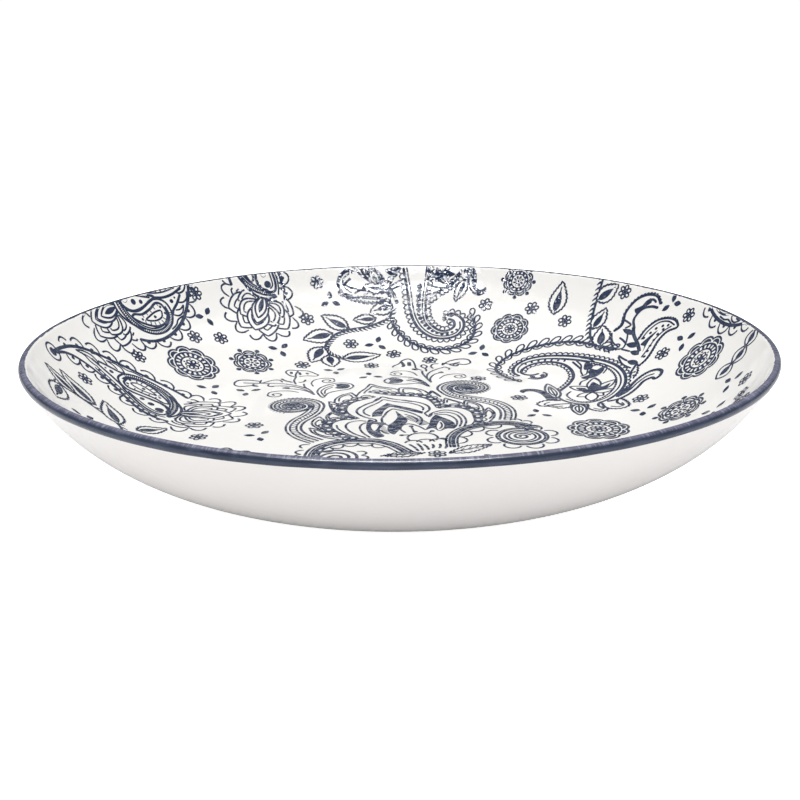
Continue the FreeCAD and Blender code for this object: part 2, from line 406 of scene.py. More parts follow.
def band_material():
    material, tree, shader = new_material("painted_band", IOR=1.5)
    lines = place_group(tree, BRUSH_LINES, Lines_per_metre=1500.0, Strokes_per_turn=16.0)
    mottle = place_group(tree, MOTTLE, Tone=(0.022, 0.034, 0.066, 1), Second_tone=(0.040, 0.055, 0.098, 1),
                         Patches_per_metre=90.0, Grain_per_metre=1200.0)
    place = add(tree, "SeparateXYZ", Vector=add(tree, "TexCoord").outputs["Object"]).outputs
    crest = ramp(tree, place[2], (BOWL_HEIGHT - THIN_BELOW) * MM, (BOWL_HEIGHT - THINNEST_BELOW) * MM)
    # Painted highlight: the paler crest fades in from back to front, so only the near side of the lip shows
    # it.
    near_side_highlight = ramp(tree, place[1], NEAR_HIGHLIGHT_FROM * MM, NEAR_HIGHLIGHT_TO * MM)
    crest = math_node(tree, "MULTIPLY", crest, near_side_highlight)
    # Paler paint over the near crest, partly thin paint and partly painted highlight, broken by brush
    # lines.
    thin_paint_and_highlight = math_node(tree, "MULTIPLY", crest, ramp(tree, lines.outputs["Lines"], 0.20, 0.62))
    colour = mix_colours(tree, thin_paint_and_highlight, mottle.outputs["Colour"], (0.17, 0.165, 0.25, 1))
    hairs = place_group(tree, BRUSH_LINES, Lines_per_metre=90.0, Strokes_per_turn=150.0)
    wiped_paint_and_highlight = math_node(tree, "MULTIPLY", crest, ramp(tree, hairs.outputs["Lines"], 0.50, 0.72))
    colour = mix_colours(tree, wiped_paint_and_highlight, colour, (0.36, 0.38, 0.50, 1))
    streak = ramp(tree, lines.outputs["Lines"], 0.52, 0.72)
    soft_streak = math_node(tree, "MULTIPLY", streak, 0.35)
    colour = mix_colours(tree, soft_streak, colour, (0.13, 0.15, 0.23, 1))
    tree.links.new(colour, shader.inputs["Base Color"])
    roughness = add(tree, "MapRange", {"To Min": 0.16, "To Max": 0.32}, Value=lines.outputs["Blotches"])
    tree.links.new(roughness.outputs[0], shader.inputs["Roughness"])
    bump(tree, shader, lines.outputs["Lines"], 0.00005)
    return material


# %% Printed ink
def ink_material(name, tone, second_tone):
    material, tree, shader = new_material(name, IOR=1.5)
    mottle = place_group(tree, MOTTLE, Tone=tone, Second_tone=second_tone, Patches_per_metre=120.0,
                         Grain_per_metre=240.0)
    tree.links.new(mottle.outputs["Colour"], shader.inputs["Base Color"])
    roughness = add(tree, "MapRange", {"To Min": 0.03, "To Max": 0.06}, Value=mottle.outputs["Patches"])
    tree.links.new(roughness.outputs[0], shader.inputs["Roughness"])
    bump(tree, shader, mottle.outputs["Grain"], 0.0016)
    return material


band_blue = band_material()
ink_blue = ink_material("printed_ink", (0.018, 0.030, 0.070, 1), (0.036, 0.052, 0.105, 1))
print("materials:", ", ".join(sorted(material.name for material in bpy.data.materials)))

# %% [markdown]
# ## The turned coats
#
# The white glaze lies on the porcelain as a skin half a millimetre thick, and the band runs over the lip.
# They are turned from the same arcs as the design, with far more steps, because glaze is a mirror
# and a mirror shows every flat facet. The band's edges were cut by a hand-held brush,
# so they wander a little, and the glaze below runs on under them.

# %% Glaze inside
UNDERLAP = 0.3           # how far the glaze runs on under the band, in millimetres
glaze_stop = BAND_INSIDE - math.degrees(UNDERLAP / LIP_RADIUS)
outer_stop = BAND_OUTSIDE + math.degrees(UNDERLAP / SHOULDER_RADIUS)

glaze_top = joined(
    run(1j * (FLOOR_HEIGHT - FILM), FLOOR_RADIUS + 1j * (FLOOR_HEIGHT - FILM), 12),
    bend(COVE_CENTRE, COVE_RADIUS + FILM, 0, WALL_SLOPE, 24),
    bend(WALL_CENTRE, WALL_RADIUS + FILM, WALL_SLOPE, LIP_SLOPE, 40),
    lip(FILM, LIP_SLOPE + 180, glaze_stop, 12))
glaze_under = joined(
    lip(COAT, glaze_stop, LIP_SLOPE + 180, 5),
    bend(WALL_CENTRE, WALL_RADIUS + COAT, LIP_SLOPE, WALL_SLOPE, 10),
    bend(COVE_CENTRE, COVE_RADIUS + COAT, WALL_SLOPE, 0, 6),
    FLOOR_RADIUS + 1j * (FLOOR_HEIGHT - COAT),
    1j * (FLOOR_HEIGHT - COAT))
inner_glaze = turned("glaze_inside", joined(glaze_top, glaze_under))
dress(inner_glaze, glaze_inside)

# %% Glaze outside
bare_line = FOOT_OUTER + COAT + 1j * FOOT_ROUNDING
outside_down = joined(
    bend(SHOULDER_CENTRE, SHOULDER_RADIUS, outer_stop, SHOULDER_SLOPE, 30),
    bend(BELLY_CENTRE, BELLY_RADIUS, SHOULDER_SLOPE, BELLY_SLOPE, 26),
    run(BELLY_CENTRE + BELLY_RADIUS * down(BELLY_SLOPE), bare_line, 3),
    bare_line - COAT)
outside_back = joined(
    FOOT_OUTER + 1j * (BELLY_CENTRE + (BELLY_RADIUS - COAT) * down(BELLY_SLOPE)).imag,
    bend(BELLY_CENTRE, BELLY_RADIUS - COAT, BELLY_SLOPE, SHOULDER_SLOPE, 8),
    bend(SHOULDER_CENTRE, SHOULDER_RADIUS - COAT, SHOULDER_SLOPE, outer_stop, 8))
outer_glaze = turned("glaze_outside", joined(outside_down, outside_back))
dress(outer_glaze, glaze_outside)

# %% Glaze in the recess, and the foot ring
glazed_side = FOOT_INNER - COAT
recess_corner = glazed_side - RECESS_COVE + 1j * (RECESS_HEIGHT - RECESS_COVE)
recess = joined(
    1j * RECESS_HEIGHT,
    run(60 + 1j * RECESS_HEIGHT, recess_corner.real + 1j * RECESS_HEIGHT, 4),
    recess_corner + RECESS_COVE * np.exp(1j * np.radians(np.linspace(90, 0, 9))),
    glazed_side + 1j * FOOT_ROUNDING,
    FOOT_INNER + 1j * FOOT_ROUNDING,
    FOOT_INNER + 1j * (RECESS_HEIGHT + COAT),
    1j * (RECESS_HEIGHT + COAT))
recess_glaze = turned("glaze_recess", recess[::-1])
dress(recess_glaze, glaze_outside)

outer_round = FOOT_OUTER - FOOT_ROUNDING + 1j * FOOT_ROUNDING
inner_round = FOOT_INNER + FOOT_ROUNDING + 1j * FOOT_ROUNDING
foot = joined(
    FOOT_OUTER + 1j * (RECESS_HEIGHT + COAT),
    outer_round + FOOT_ROUNDING * np.exp(-1j * np.radians(np.linspace(0, 90, 9))),
    inner_round + FOOT_ROUNDING * np.exp(-1j * np.radians(np.linspace(90, 180, 9))),
    FOOT_INNER + 1j * (RECESS_HEIGHT + COAT))
foot_ring = turned("foot_ring_bare", foot)
dress(foot_ring, bare_foot)

# %% Painted band
WANDER = 0.22            # how far the brush edge strays, in millimetres
HAND_WAVES = ((3, 1.0, 1.0), (7, 0.6, 2.3), (31, 0.35, 1.0), (53, 0.25, 1.7))     # per turn, height, lag

hairs = np.random.default_rng(11).normal(0, 1, STEPS_ROUND)


def brush_edge(turn, phase, ragged):
    """Slow waves with a little tremble, as a steady hand leaves on a turning rim, and stray hairs."""
    waves = sum(height * np.sin(count * turn + lag * phase) for count, height, lag in HAND_WAVES)
    return WANDER * (waves / sum(height for _, height, _ in HAND_WAVES) + ragged * hairs)


LIP_STEPS = 26
band_outline = joined(
    lip(0, BAND_INSIDE, LIP_SLOPE, LIP_STEPS),
    bend(SHOULDER_CENTRE, SHOULDER_RADIUS, LIP_SLOPE, BAND_OUTSIDE, 3),
    bend(SHOULDER_CENTRE, SHOULDER_RADIUS - COAT, BAND_OUTSIDE, LIP_SLOPE, 2),
    lip(COAT, LIP_SLOPE, BAND_INSIDE, 8))
band_inner_edge = (0, len(band_outline) - 1)
band_outer_edge = (LIP_STEPS + 3, LIP_STEPS + 4)
outward = down(BAND_OUTSIDE) * 1j


def stray(step, ring, around):
    """Move only the band's two painted edges along the surface."""
    if step in band_inner_edge:
        along_lip = brush_edge(around, 0.4, 0.5) / LIP_RADIUS
        return LIP_CENTRE + (ring - LIP_CENTRE) * np.exp(1j * along_lip)
    if step in band_outer_edge:
        return ring - outward * brush_edge(around, 1.9, 0.0)
    return ring


rim_band = turned("band_over_lip", band_outline, stray)
dress(rim_band, band_blue)

# %% Stand each coat for its part of the design
for piece, node, slot in (
        (inner_glaze, "inner_glaze", "white_glaze"), (outer_glaze, "outer_glaze", "white_glaze"),
        (recess_glaze, "recess_glaze", "white_glaze"), (foot_ring, "foot_ring", "bare_foot"),
        (rim_band, "rim_band", "painted_band")):
    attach(piece, "root")
    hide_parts(node)
dress(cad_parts["porcelain_body"], porcelain)

# %% [markdown]
# ## Drawing on the plan of the bowl
#
# The real print is a decal, drawn flat and slid on to the ware. The same is done here:
# the pattern is drawn on a flat plan of the inside, measured along the glaze from the middle,
# and each line is then laid on the bowl as a thin closed ribbon of ink.
# A picture wrapped on the glaze would be blurred close up and lost in an export,
# while a ribbon has a true edge and a true thickness, as screen-printed enamel has.
# A place on the plan is one complex number in millimetres: x to the right plus 1j times the way back.
# Turning is multiplying by a unit number, and mirroring is a conjugate, so motifs are easy to reuse.

# %% From the plan to the bowl
WALL_START = FLOOR_RADIUS + COVE_RADIUS * math.radians(WALL_SLOPE)
LIP_START = WALL_START + WALL_RADIUS * math.radians(LIP_SLOPE - WALL_SLOPE)
PLAN_EDGE = LIP_START + LIP_RADIUS * math.radians(LIP_SLOPE + 180 - BAND_INSIDE)
INK_TOP, INK_ROOT = 0.045, -0.06        # ink above and below the glaze, in millimetres
INK_SPREAD = 0.20                       # how far each edge of a stroke runs out in the firing
CURVE_STEP = 0.55                       # the longest straight piece of a curve, in millimetres
LIFTS, LIFT = 60, 0.0004                # overlapping strokes lie at slightly different heights


def on_the_bowl(plan, above):
    """Places in millimetres, and surface normals, of plan points at a height over the glaze."""
    reach = np.abs(plan)
    heading = np.where(reach > 1e-9, plan / np.maximum(reach, 1e-9), 1)
    slope = np.maximum(reach - FLOOR_RADIUS, 0) / COVE_RADIUS
    slope = np.where(reach > WALL_START, math.radians(WALL_SLOPE) + (reach - WALL_START) / WALL_RADIUS,
                     slope)
    slope = np.where(reach > LIP_START, math.radians(LIP_SLOPE) - (reach - LIP_START) / LIP_RADIUS, slope)
    section = reach + 1j * FLOOR_HEIGHT
    section = np.where(reach > FLOOR_RADIUS, COVE_CENTRE - 1j * COVE_RADIUS * np.exp(1j * slope), section)
    section = np.where(reach > WALL_START, WALL_CENTRE - 1j * WALL_RADIUS * np.exp(1j * slope), section)
    upward = 1j * np.exp(1j * slope)
    section = np.where(reach > LIP_START, LIP_CENTRE + LIP_RADIUS * upward, section)
    section = section + upward * (above - FILM)
    place = np.column_stack([section.real * heading.real, section.real * heading.imag, section.imag])
    normal = np.column_stack([upward.real * heading.real, upward.real * heading.imag, upward.imag])
    return place, normal


print(f"the plan reaches {PLAN_EDGE:.1f} mm from the middle to the band")

# %% The pen and the marks it leaves
ink = {}                 # for each family of motifs, the marks in the order they are drawn
blanks = []              # areas left white, with the number of marks drawn before each
hand = [(1 + 0j, 0j, False)]
drawn = {"family": "", "count": 0}


@contextmanager
def moved(to=0, turn=0, size=1, mirror=False):
    """Whatever is drawn inside is mirrored left to right, resized, turned by degrees and moved."""
    hand.append((size * np.exp(1j * math.radians(turn)), to, mirror))
    yield
    hand.pop()


def placed(points):
    """Plan places after every movement in force."""
    points = np.atleast_1d(np.asarray(points, complex))
    for grow, to, mirror in reversed(hand):
        points = (-np.conj(points) if mirror else points) * grow + to
    return points


def growth():
    """How much larger things are drawn now than they are written."""
    return float(np.prod([abs(grow) for grow, _, _ in hand]))


def leave(kind, points, extra=None):
    """Record one mark of ink."""
    drawn["count"] += 1
    points = placed(points)
    if kind == "patch":
        extra = [placed(hole) for hole in extra]
    ink.setdefault(drawn["family"], []).append((kind, points, extra, drawn["count"]))


def smooth(points, closed=False):
    """A curve that flows through the points, cut into short even steps."""
    points = np.asarray(points, complex)
    if closed:
        points = np.concatenate([points[-1:], points, points[:2]])
    else:
        points = np.concatenate([[2 * points[0] - points[1]], points, [2 * points[-1] - points[-2]]])
    gaps = np.sqrt(np.maximum(np.abs(np.diff(points)), 1e-6))
    knots = np.concatenate([[0], np.cumsum(gaps)])
    pieces = []
    for start in range(1, len(points) - 2):
        p0, p1, p2, p3 = points[start - 1:start + 3]
        k0, k1, k2, k3 = knots[start - 1:start + 3]
        count = max(2, int(math.ceil(abs(p2 - p1) * growth() / CURVE_STEP)))
        at = np.linspace(k1, k2, count + 1)[:-1]
        a1 = (k1 - at) / (k1 - k0) * p0 + (at - k0) / (k1 - k0) * p1
        a2 = (k2 - at) / (k2 - k1) * p1 + (at - k1) / (k2 - k1) * p2
        a3 = (k3 - at) / (k3 - k2) * p2 + (at - k2) / (k3 - k2) * p3
        b1 = (k2 - at) / (k2 - k0) * a1 + (at - k0) / (k2 - k0) * a2
        b2 = (k3 - at) / (k3 - k1) * a2 + (at - k1) / (k3 - k1) * a3
        pieces.append((k2 - at) / (k2 - k1) * b1 + (at - k1) / (k2 - k1) * b2)
    if not closed:
        pieces.append(points[-2:-1])
    return np.concatenate(pieces)


def flowing(points, closed=False):
    """Guiding points in a list become a smooth curve. An array is a finished path and stays as it is."""
    return smooth(points, closed) if isinstance(points, list) else points


def spread(values, count):
    """A few values spread evenly over a count of places."""
    return np.interp(np.linspace(0, 1, count), np.linspace(0, 1, len(values)), values)


def stroke(path, width=0.6, closed=False, swell=None):
    """A pen stroke along a path. swell gives its widths from end to end, as shares of the width."""
    path = np.asarray(path, complex)
    if closed:
        path = np.append(path, path[0])
    half = np.full(len(path), 0.5 * width * growth() + INK_SPREAD)
    if swell is not None:
        half = half * spread(swell, len(path))
    elif not closed:
        half[[0, -1]] *= 0.6
    leave("line", path, half)


def line(points, width=0.6, closed=False, swell=None):
    """A pen stroke that flows through guiding points."""
    stroke(flowing(points, closed), width, closed, swell)


def blob(outline):
    """A small solid shape whose whole edge can be seen from its middle."""
    leave("blob", flowing(outline, True))


def patch(outline, holes=()):
    """A larger solid shape, with holes left white."""
    leave("patch", flowing(outline, True), list(holes))


def blank(outline):
    """Leave an area white: whatever was drawn under it before is cut away."""
    blanks.append((placed(flowing(outline, True)), drawn["count"]))


def tally():
    """Say how many marks the family has so far."""
    print(f"{drawn['family']}: {len(ink[drawn['family']])} marks so far")


# %% Shapes that come back everywhere
def ring_path(centre, radius, count=None):
    """A round outline, with a given count of points or with short even steps."""
    count = count or max(8, int(2 * math.pi * radius * growth() / 0.5))
    return centre + radius * np.exp(2j * np.pi * np.arange(count) / count)


def circle(centre, radius, width=0.6):
    line(ring_path(centre, radius), width, closed=True)


def disc(centre, radius):
    blob(ring_path(centre, radius, 12 if radius < 2 else None))


def discs(centres, radius):
    for centre in centres:
        disc(centre, radius)


def almond(base, tip, width):
    """A leaf outline, pointed at both ends."""
    along = tip - base
    share = np.linspace(0, 1, max(6, int(abs(along) * growth() / 0.7)) + 1)
    spine = base + along * share
    across = 1j * along / abs(along) * 0.5 * width * np.sin(np.pi * share) ** 0.85
    return np.concatenate([spine + across, (spine - across)[-2:0:-1]])


def drop(base, tip, width):
    """A petal outline, narrow at its base and round at its tip."""
    along = tip - base
    share = np.linspace(0, 1, max(7, int(abs(along) * growth() / 0.6)) + 1)
    across = 1j * along / abs(along) * 0.5 * width * np.sin(np.pi * share ** 1.6) ** 0.6
    spine = base + along * share
    return np.concatenate([spine + across, (spine - across)[-2:0:-1]])


def even(path, count, ends=True):
    """Places evenly spaced along a path, with the heading of the path at each."""
    lengths = np.concatenate([[0], np.cumsum(np.abs(np.diff(path)))])
    at = np.linspace(0, lengths[-1], count + (0 if ends else 1))
    at = at if ends else at[:-1] + 0.5 * (at[1] - at[0])
    here, ahead, behind = [np.interp(at + nudge, lengths, path) for nudge in (0, 0.05, -0.05)]
    return here, (ahead - behind) / np.abs(ahead - behind)


def beside(path, gap):
    """The same path, moved to its left by a gap that may change from end to end."""
    heading = np.gradient(path)
    heading = heading / np.abs(heading)
    if np.ndim(gap):
        gap = spread(gap, len(path))
    return path + 1j * heading * gap


def scallops(points, count, depth, width=0.6, dotted=False):
    """A row of round bumps on the left of a path, with or without a dot in each."""
    ends, _ = even(flowing(points), count + 1)
    for start, end in zip(ends, ends[1:]):
        share = np.linspace(0, 1, 9)
        along = end - start
        arch = abs(depth) * np.sin(np.pi * share) ** 0.55
        out = 1j * np.sign(depth) * along / abs(along)
        line(start + along * share + out * arch, width)
        if dotted:
            middle = start + 0.5 * along
            disc(middle + out * 0.24 * abs(depth), 0.13 * min(abs(along), 1.6 * abs(depth)))


def beads(points, count, radius, shrink=(1.0, 1.0)):
    """Round dots along a path, whose sizes follow the shares in shrink."""
    here, _ = even(flowing(points), count)
    for foot, size in zip(here, spread(shrink, count)):
        disc(foot, radius * size)


def ticks(points, count, low, high, width=0.35, lean=0.0):
    """Short lines beside a path, from one distance to another on its left."""
    here, heading = even(flowing(points), count)
    for foot, way in zip(here, heading):
        out = way * np.exp(1j * math.radians(90 - lean))
        stroke([foot + out * low, foot + out * high], width)


def rays(centre, inner, outer, angles, width):
    """Short lines that point away from a centre, at angles in degrees."""
    for way in np.exp(1j * np.radians(angles)):
        stroke([centre + inner * way, centre + outer * way], width)


def spiral(centre, outer, inner, turns, start, width=0.6, curl=1):
    """A coil from its outer end to its inner end. start is where it begins, in degrees."""
    share = np.linspace(0, 1, int(turns * 2 * math.pi * outer * growth() / 0.8) + 8)
    radius = outer + (inner - outer) * share
    path = centre + radius * np.exp(1j * (math.radians(start) + curl * 2 * np.pi * turns * share))
    line(path, width)
    return path


def teeth(points, count, depth, width=0.6, lean=0.35):
    """A serrated edge: small curved teeth on the left of a path."""
    ends, _ = even(smooth(points), count + 1)
    path = []
    for start, end in zip(ends, ends[1:]):
        along = end - start
        out = 1j * along / abs(along) * depth
        path += [start, start + along * (0.35 + lean) + 0.75 * out, start + along * (0.6 + lean) + out]
    path.append(ends[-1])
    line(np.array(path), width)

# %% [markdown]
# ## Small flowers, trefoils, rosettes and wheels
#
# The small motifs are scattered between the big ones and are all alike, as a pattern maker repeats a stamp.
# Each is drawn once as a function and then called at its places.

# %% Small motifs
def flower(centre, turn=0.0):
    """Six outlined petals round a dark eye."""
    with moved(centre, turn):
        for sixth in range(6):
            way = np.exp(1j * math.pi * (sixth / 3 + 1 / 6))
            ring = ring_path(0, 1.0, 14)
            line(way * (2.45 + 1.22 * ring.real + 1.02j * ring.imag), 0.5, closed=True)
        disc(0, 0.85)


def trefoil(*centres):
    """Three solid leaves that point away from their common middle."""
    middle = sum(centres) / len(centres)
    for centre in centres:
        way = (centre - middle) / abs(centre - middle)
        blob(almond(centre - 2.4 * way, centre + 2.6 * way, 2.9))


def rosette(centre, radius):
    """Nine round petals, a ring of spokes and a six-petal heart."""
    with moved(centre, 90, radius / 12.6):
        for ninth in range(9):
            with moved(0, 40.0 * ninth):
                bow = np.linspace(-1, 1, 15)
                swing = 1j * bow * math.radians(1)
                edge = (10.6 + 2.0 * np.cos(bow * math.pi / 2) ** 0.55) * np.exp(20 * swing)
                line(edge, 0.7)
                crescent = (9.6 + 1.1 * np.cos(bow * math.pi / 2) ** 0.7) * np.exp(15 * swing)
                line(crescent, 1.25, swell=(0.4, 1, 1.15, 1, 0.4))
                for spoke in (10, 30):
                    way = np.exp(1j * math.radians(spoke))
                    stroke([6.1 * way, 8.3 * way], 0.95, swell=(0.7, 1.3))
        circle(0, 8.6, 0.6)
        circle(0, 5.7, 0.6)
        for sixth in range(6):
            way = np.exp(1j * math.pi * sixth / 3)
            line(drop(0.7 * way, 3.6 * way, 2.1), 0.45, closed=True)
            disc(4.2 * way * np.exp(1j * math.pi / 6), 0.55)
        disc(0, 0.9)


def wheel(centre, radius, pins, turn=90.0):
    """A dark ring with white eyes, scallops round it, and pins with round heads."""
    with moved(centre, turn, radius / 10.6):
        for pin in range(pins):
            step = 2 * math.pi / pins
            way = np.exp(1j * step * pin)
            stroke([6.4 * way, 10.0 * way], 0.7)
            disc(10.2 * way, 1.25)
            bow = np.linspace(0.08, 0.92, 11)
            bump = (6.9 + 2.3 * np.sin(np.pi * bow) ** 0.6) * np.exp(1j * step * (pin + bow))
            line(bump, 0.6)
            inner = (6.4 + 1.4 * np.sin(np.pi * bow) ** 0.7) * np.exp(1j * step * (pin + bow))
            line(inner, 0.5)
        eyes = [ring_path(5.15 * np.exp(2j * math.pi * eye / 12), 0.62, 8) for eye in range(12)]
        patch(ring_path(0, 6.5), [ring_path(0, 3.9)] + eyes)
        for petal in range(pins):
            way = np.exp(2j * math.pi * (petal + 0.5) / pins)
            blob(drop(0.9 * way, 3.5 * way, 1.5))
        disc(0, 0.7)


# %% Scatter the small flowers and trefoils
drawn["family"] = "small_flowers"
FLOWERS = [-124 + 53.5j, -139 + 7j, -62 - 1j, -83.5 - 15.5j, -110 + 114.5j, -90.5 + 95.5j, -103 + 88.5j,
           -46.5 + 149.5j, -49 + 126j, -25 + 112.5j, -3 + 104.5j, -14 + 90.5j, -48 + 88.5j, 15 + 97j,
           37.5 + 67j, 71 + 124.5j, 47 + 135j, 86 + 108.5j, 120.5 + 105j, 124.5 + 51.5j, 144 + 62j,
           106.5 + 21.5j, 54 + 35.5j, 146 - 25j]
for number, centre in enumerate(FLOWERS):
    flower(centre, turn=17.0 * number)

TREFOILS = [(-101 + 108.5j, -104 + 103j, -98 + 103j), (-58.5 + 103.5j, -64 + 100j, -58.5 + 97j),
            (-86 + 52.5j, -92 + 49.5j, -85.5 + 45j), (-74 + 50.5j, -67 + 51j, -71 + 44.5j),
            (-62.5 - 14j, -56.5 - 10.5j, -57.5 - 19j), (-35 + 83.5j, -29 + 85j, -31 + 79j),
            (-15 + 76.5j, -17.5 + 70.5j, -10.5 + 71.5j), (-11 + 117j, -15.5 + 112.5j, -9 + 111j),
            (42 + 105.5j, 37 + 101.5j, 43 + 99j), (-38.5 + 143.5j, -40.5 + 138j, -34.5 + 139.5j),
            (59.5 + 16j, 57 + 9.5j, 63.5 + 9.5j), (102 + 10j, 109 + 9.5j, 104 + 4j),
            (135 + 53j, 140 + 48.5j, 133.5 + 46.5j), (141 - 10j, 145.5 - 14.5j, 138 - 16.5j),
            (136 + 78j, 142 + 74.5j, 142 + 79j)]
for leaves in TREFOILS:
    trefoil(*leaves)
tally()


# %% Set the rosettes and wheels
drawn["family"] = "rosettes"
for centre, radius in ((-99.5 + 67.5j, 12.7), (57.5 + 115.5j, 9.8), (138 + 27.5j, 12.6), (83 - 9.5j, 12.8)):
    rosette(centre, radius)
wheel(-72.5 + 84j, 10.8, 7, 84.0)
wheel(118.5 - 7j, 11.6, 7, 68.0)
tally()


# %% [markdown]
# ## The scalloped paisleys
#
# The largest motif is a comma-shaped paisley with a lotus at its head, fringed with round scallops.
# It comes back turned and mirrored round the bowl, and runs out under the band.
# The layered petals could be cut by hand where they overlap. It is easier to draw them back to front
# and to blank the paper under each new petal, as an engraver scrapes the ground clean.

# %% A layered lotus, pointing along x from its base at nought
def pointed(base, tip, width, belly=0.5):
    """A lotus petal: a closed outline with a full belly and a sharp tip."""
    along = tip - base
    share = np.linspace(0, 1, max(8, int(abs(along) * growth() / 0.6)) + 1)
    bulge = np.sin(np.pi * share ** (math.log(0.5) / math.log(belly))) ** 0.8
    across = 1j * along / abs(along) * 0.5 * width * bulge
    spine = base + along * share
    return np.concatenate([spine + across, (spine - across)[-2:0:-1]])


def petal(base, tip, width, belly=0.5, inner=0.62):
    """A petal on a clean ground, with a smaller one inside it."""
    outline = pointed(base, tip, width, belly)
    blank(outline)
    line(outline, 0.6, closed=True)
    if inner:
        low = base + (tip - base) * 0.12
        line(pointed(low, base + (tip - base) * (0.2 + inner), width * inner, belly), 0.48,
             closed=True)


def lotus():
    """Three rows of petals and a nested drop, inside a scalloped fringe."""
    fringe = [-9 + 17.5j, -3 + 16.8j, 4 + 14.5j, 9.5 + 9.5j, 12 + 3j, 12 - 3.5j, 9 - 9.5j, 3 - 14j,
              -4 - 16.5j,
              -11 - 16.5j]
    scallops(fringe, 9, 5.0, 0.65)
    here, heading = even(smooth(fringe), 9, ends=False)
    for foot, way in zip(here, heading):
        stroke([foot - 1j * way * 0.6, foot + 2.0j * way], 1.15, swell=(0.6, 1.2))
    blank(fringe + [-14 - 8j, -14 + 8j])
    for turn, length, width in ((80, 17, 13), (-80, 17, 13), (50, 20, 13), (-50, 20, 13), (18, 22, 13),
                                (-18, 22, 13), (64, 13.5, 10), (-64, 13.5, 10), (33, 16, 10.5),
                                (-33, 16, 10.5), (0, 19.5, 11)):
        way = np.exp(1j * math.radians(turn))
        petal(-9 + 1.5 * way, -9 + length * way, width, 0.55)
    for length, width in ((17, 8.5), (13.5, 5.6)):
        petal(-11 + 0j, -11 + length, width, 0.5, inner=0)
    blob(pointed(-10, -0.5, 2.6, 0.55))


# %% The paisley with its lotus head
LOTUS_PLACE = -85.6 + 15j
KNOB = -156.4 + 3.2j


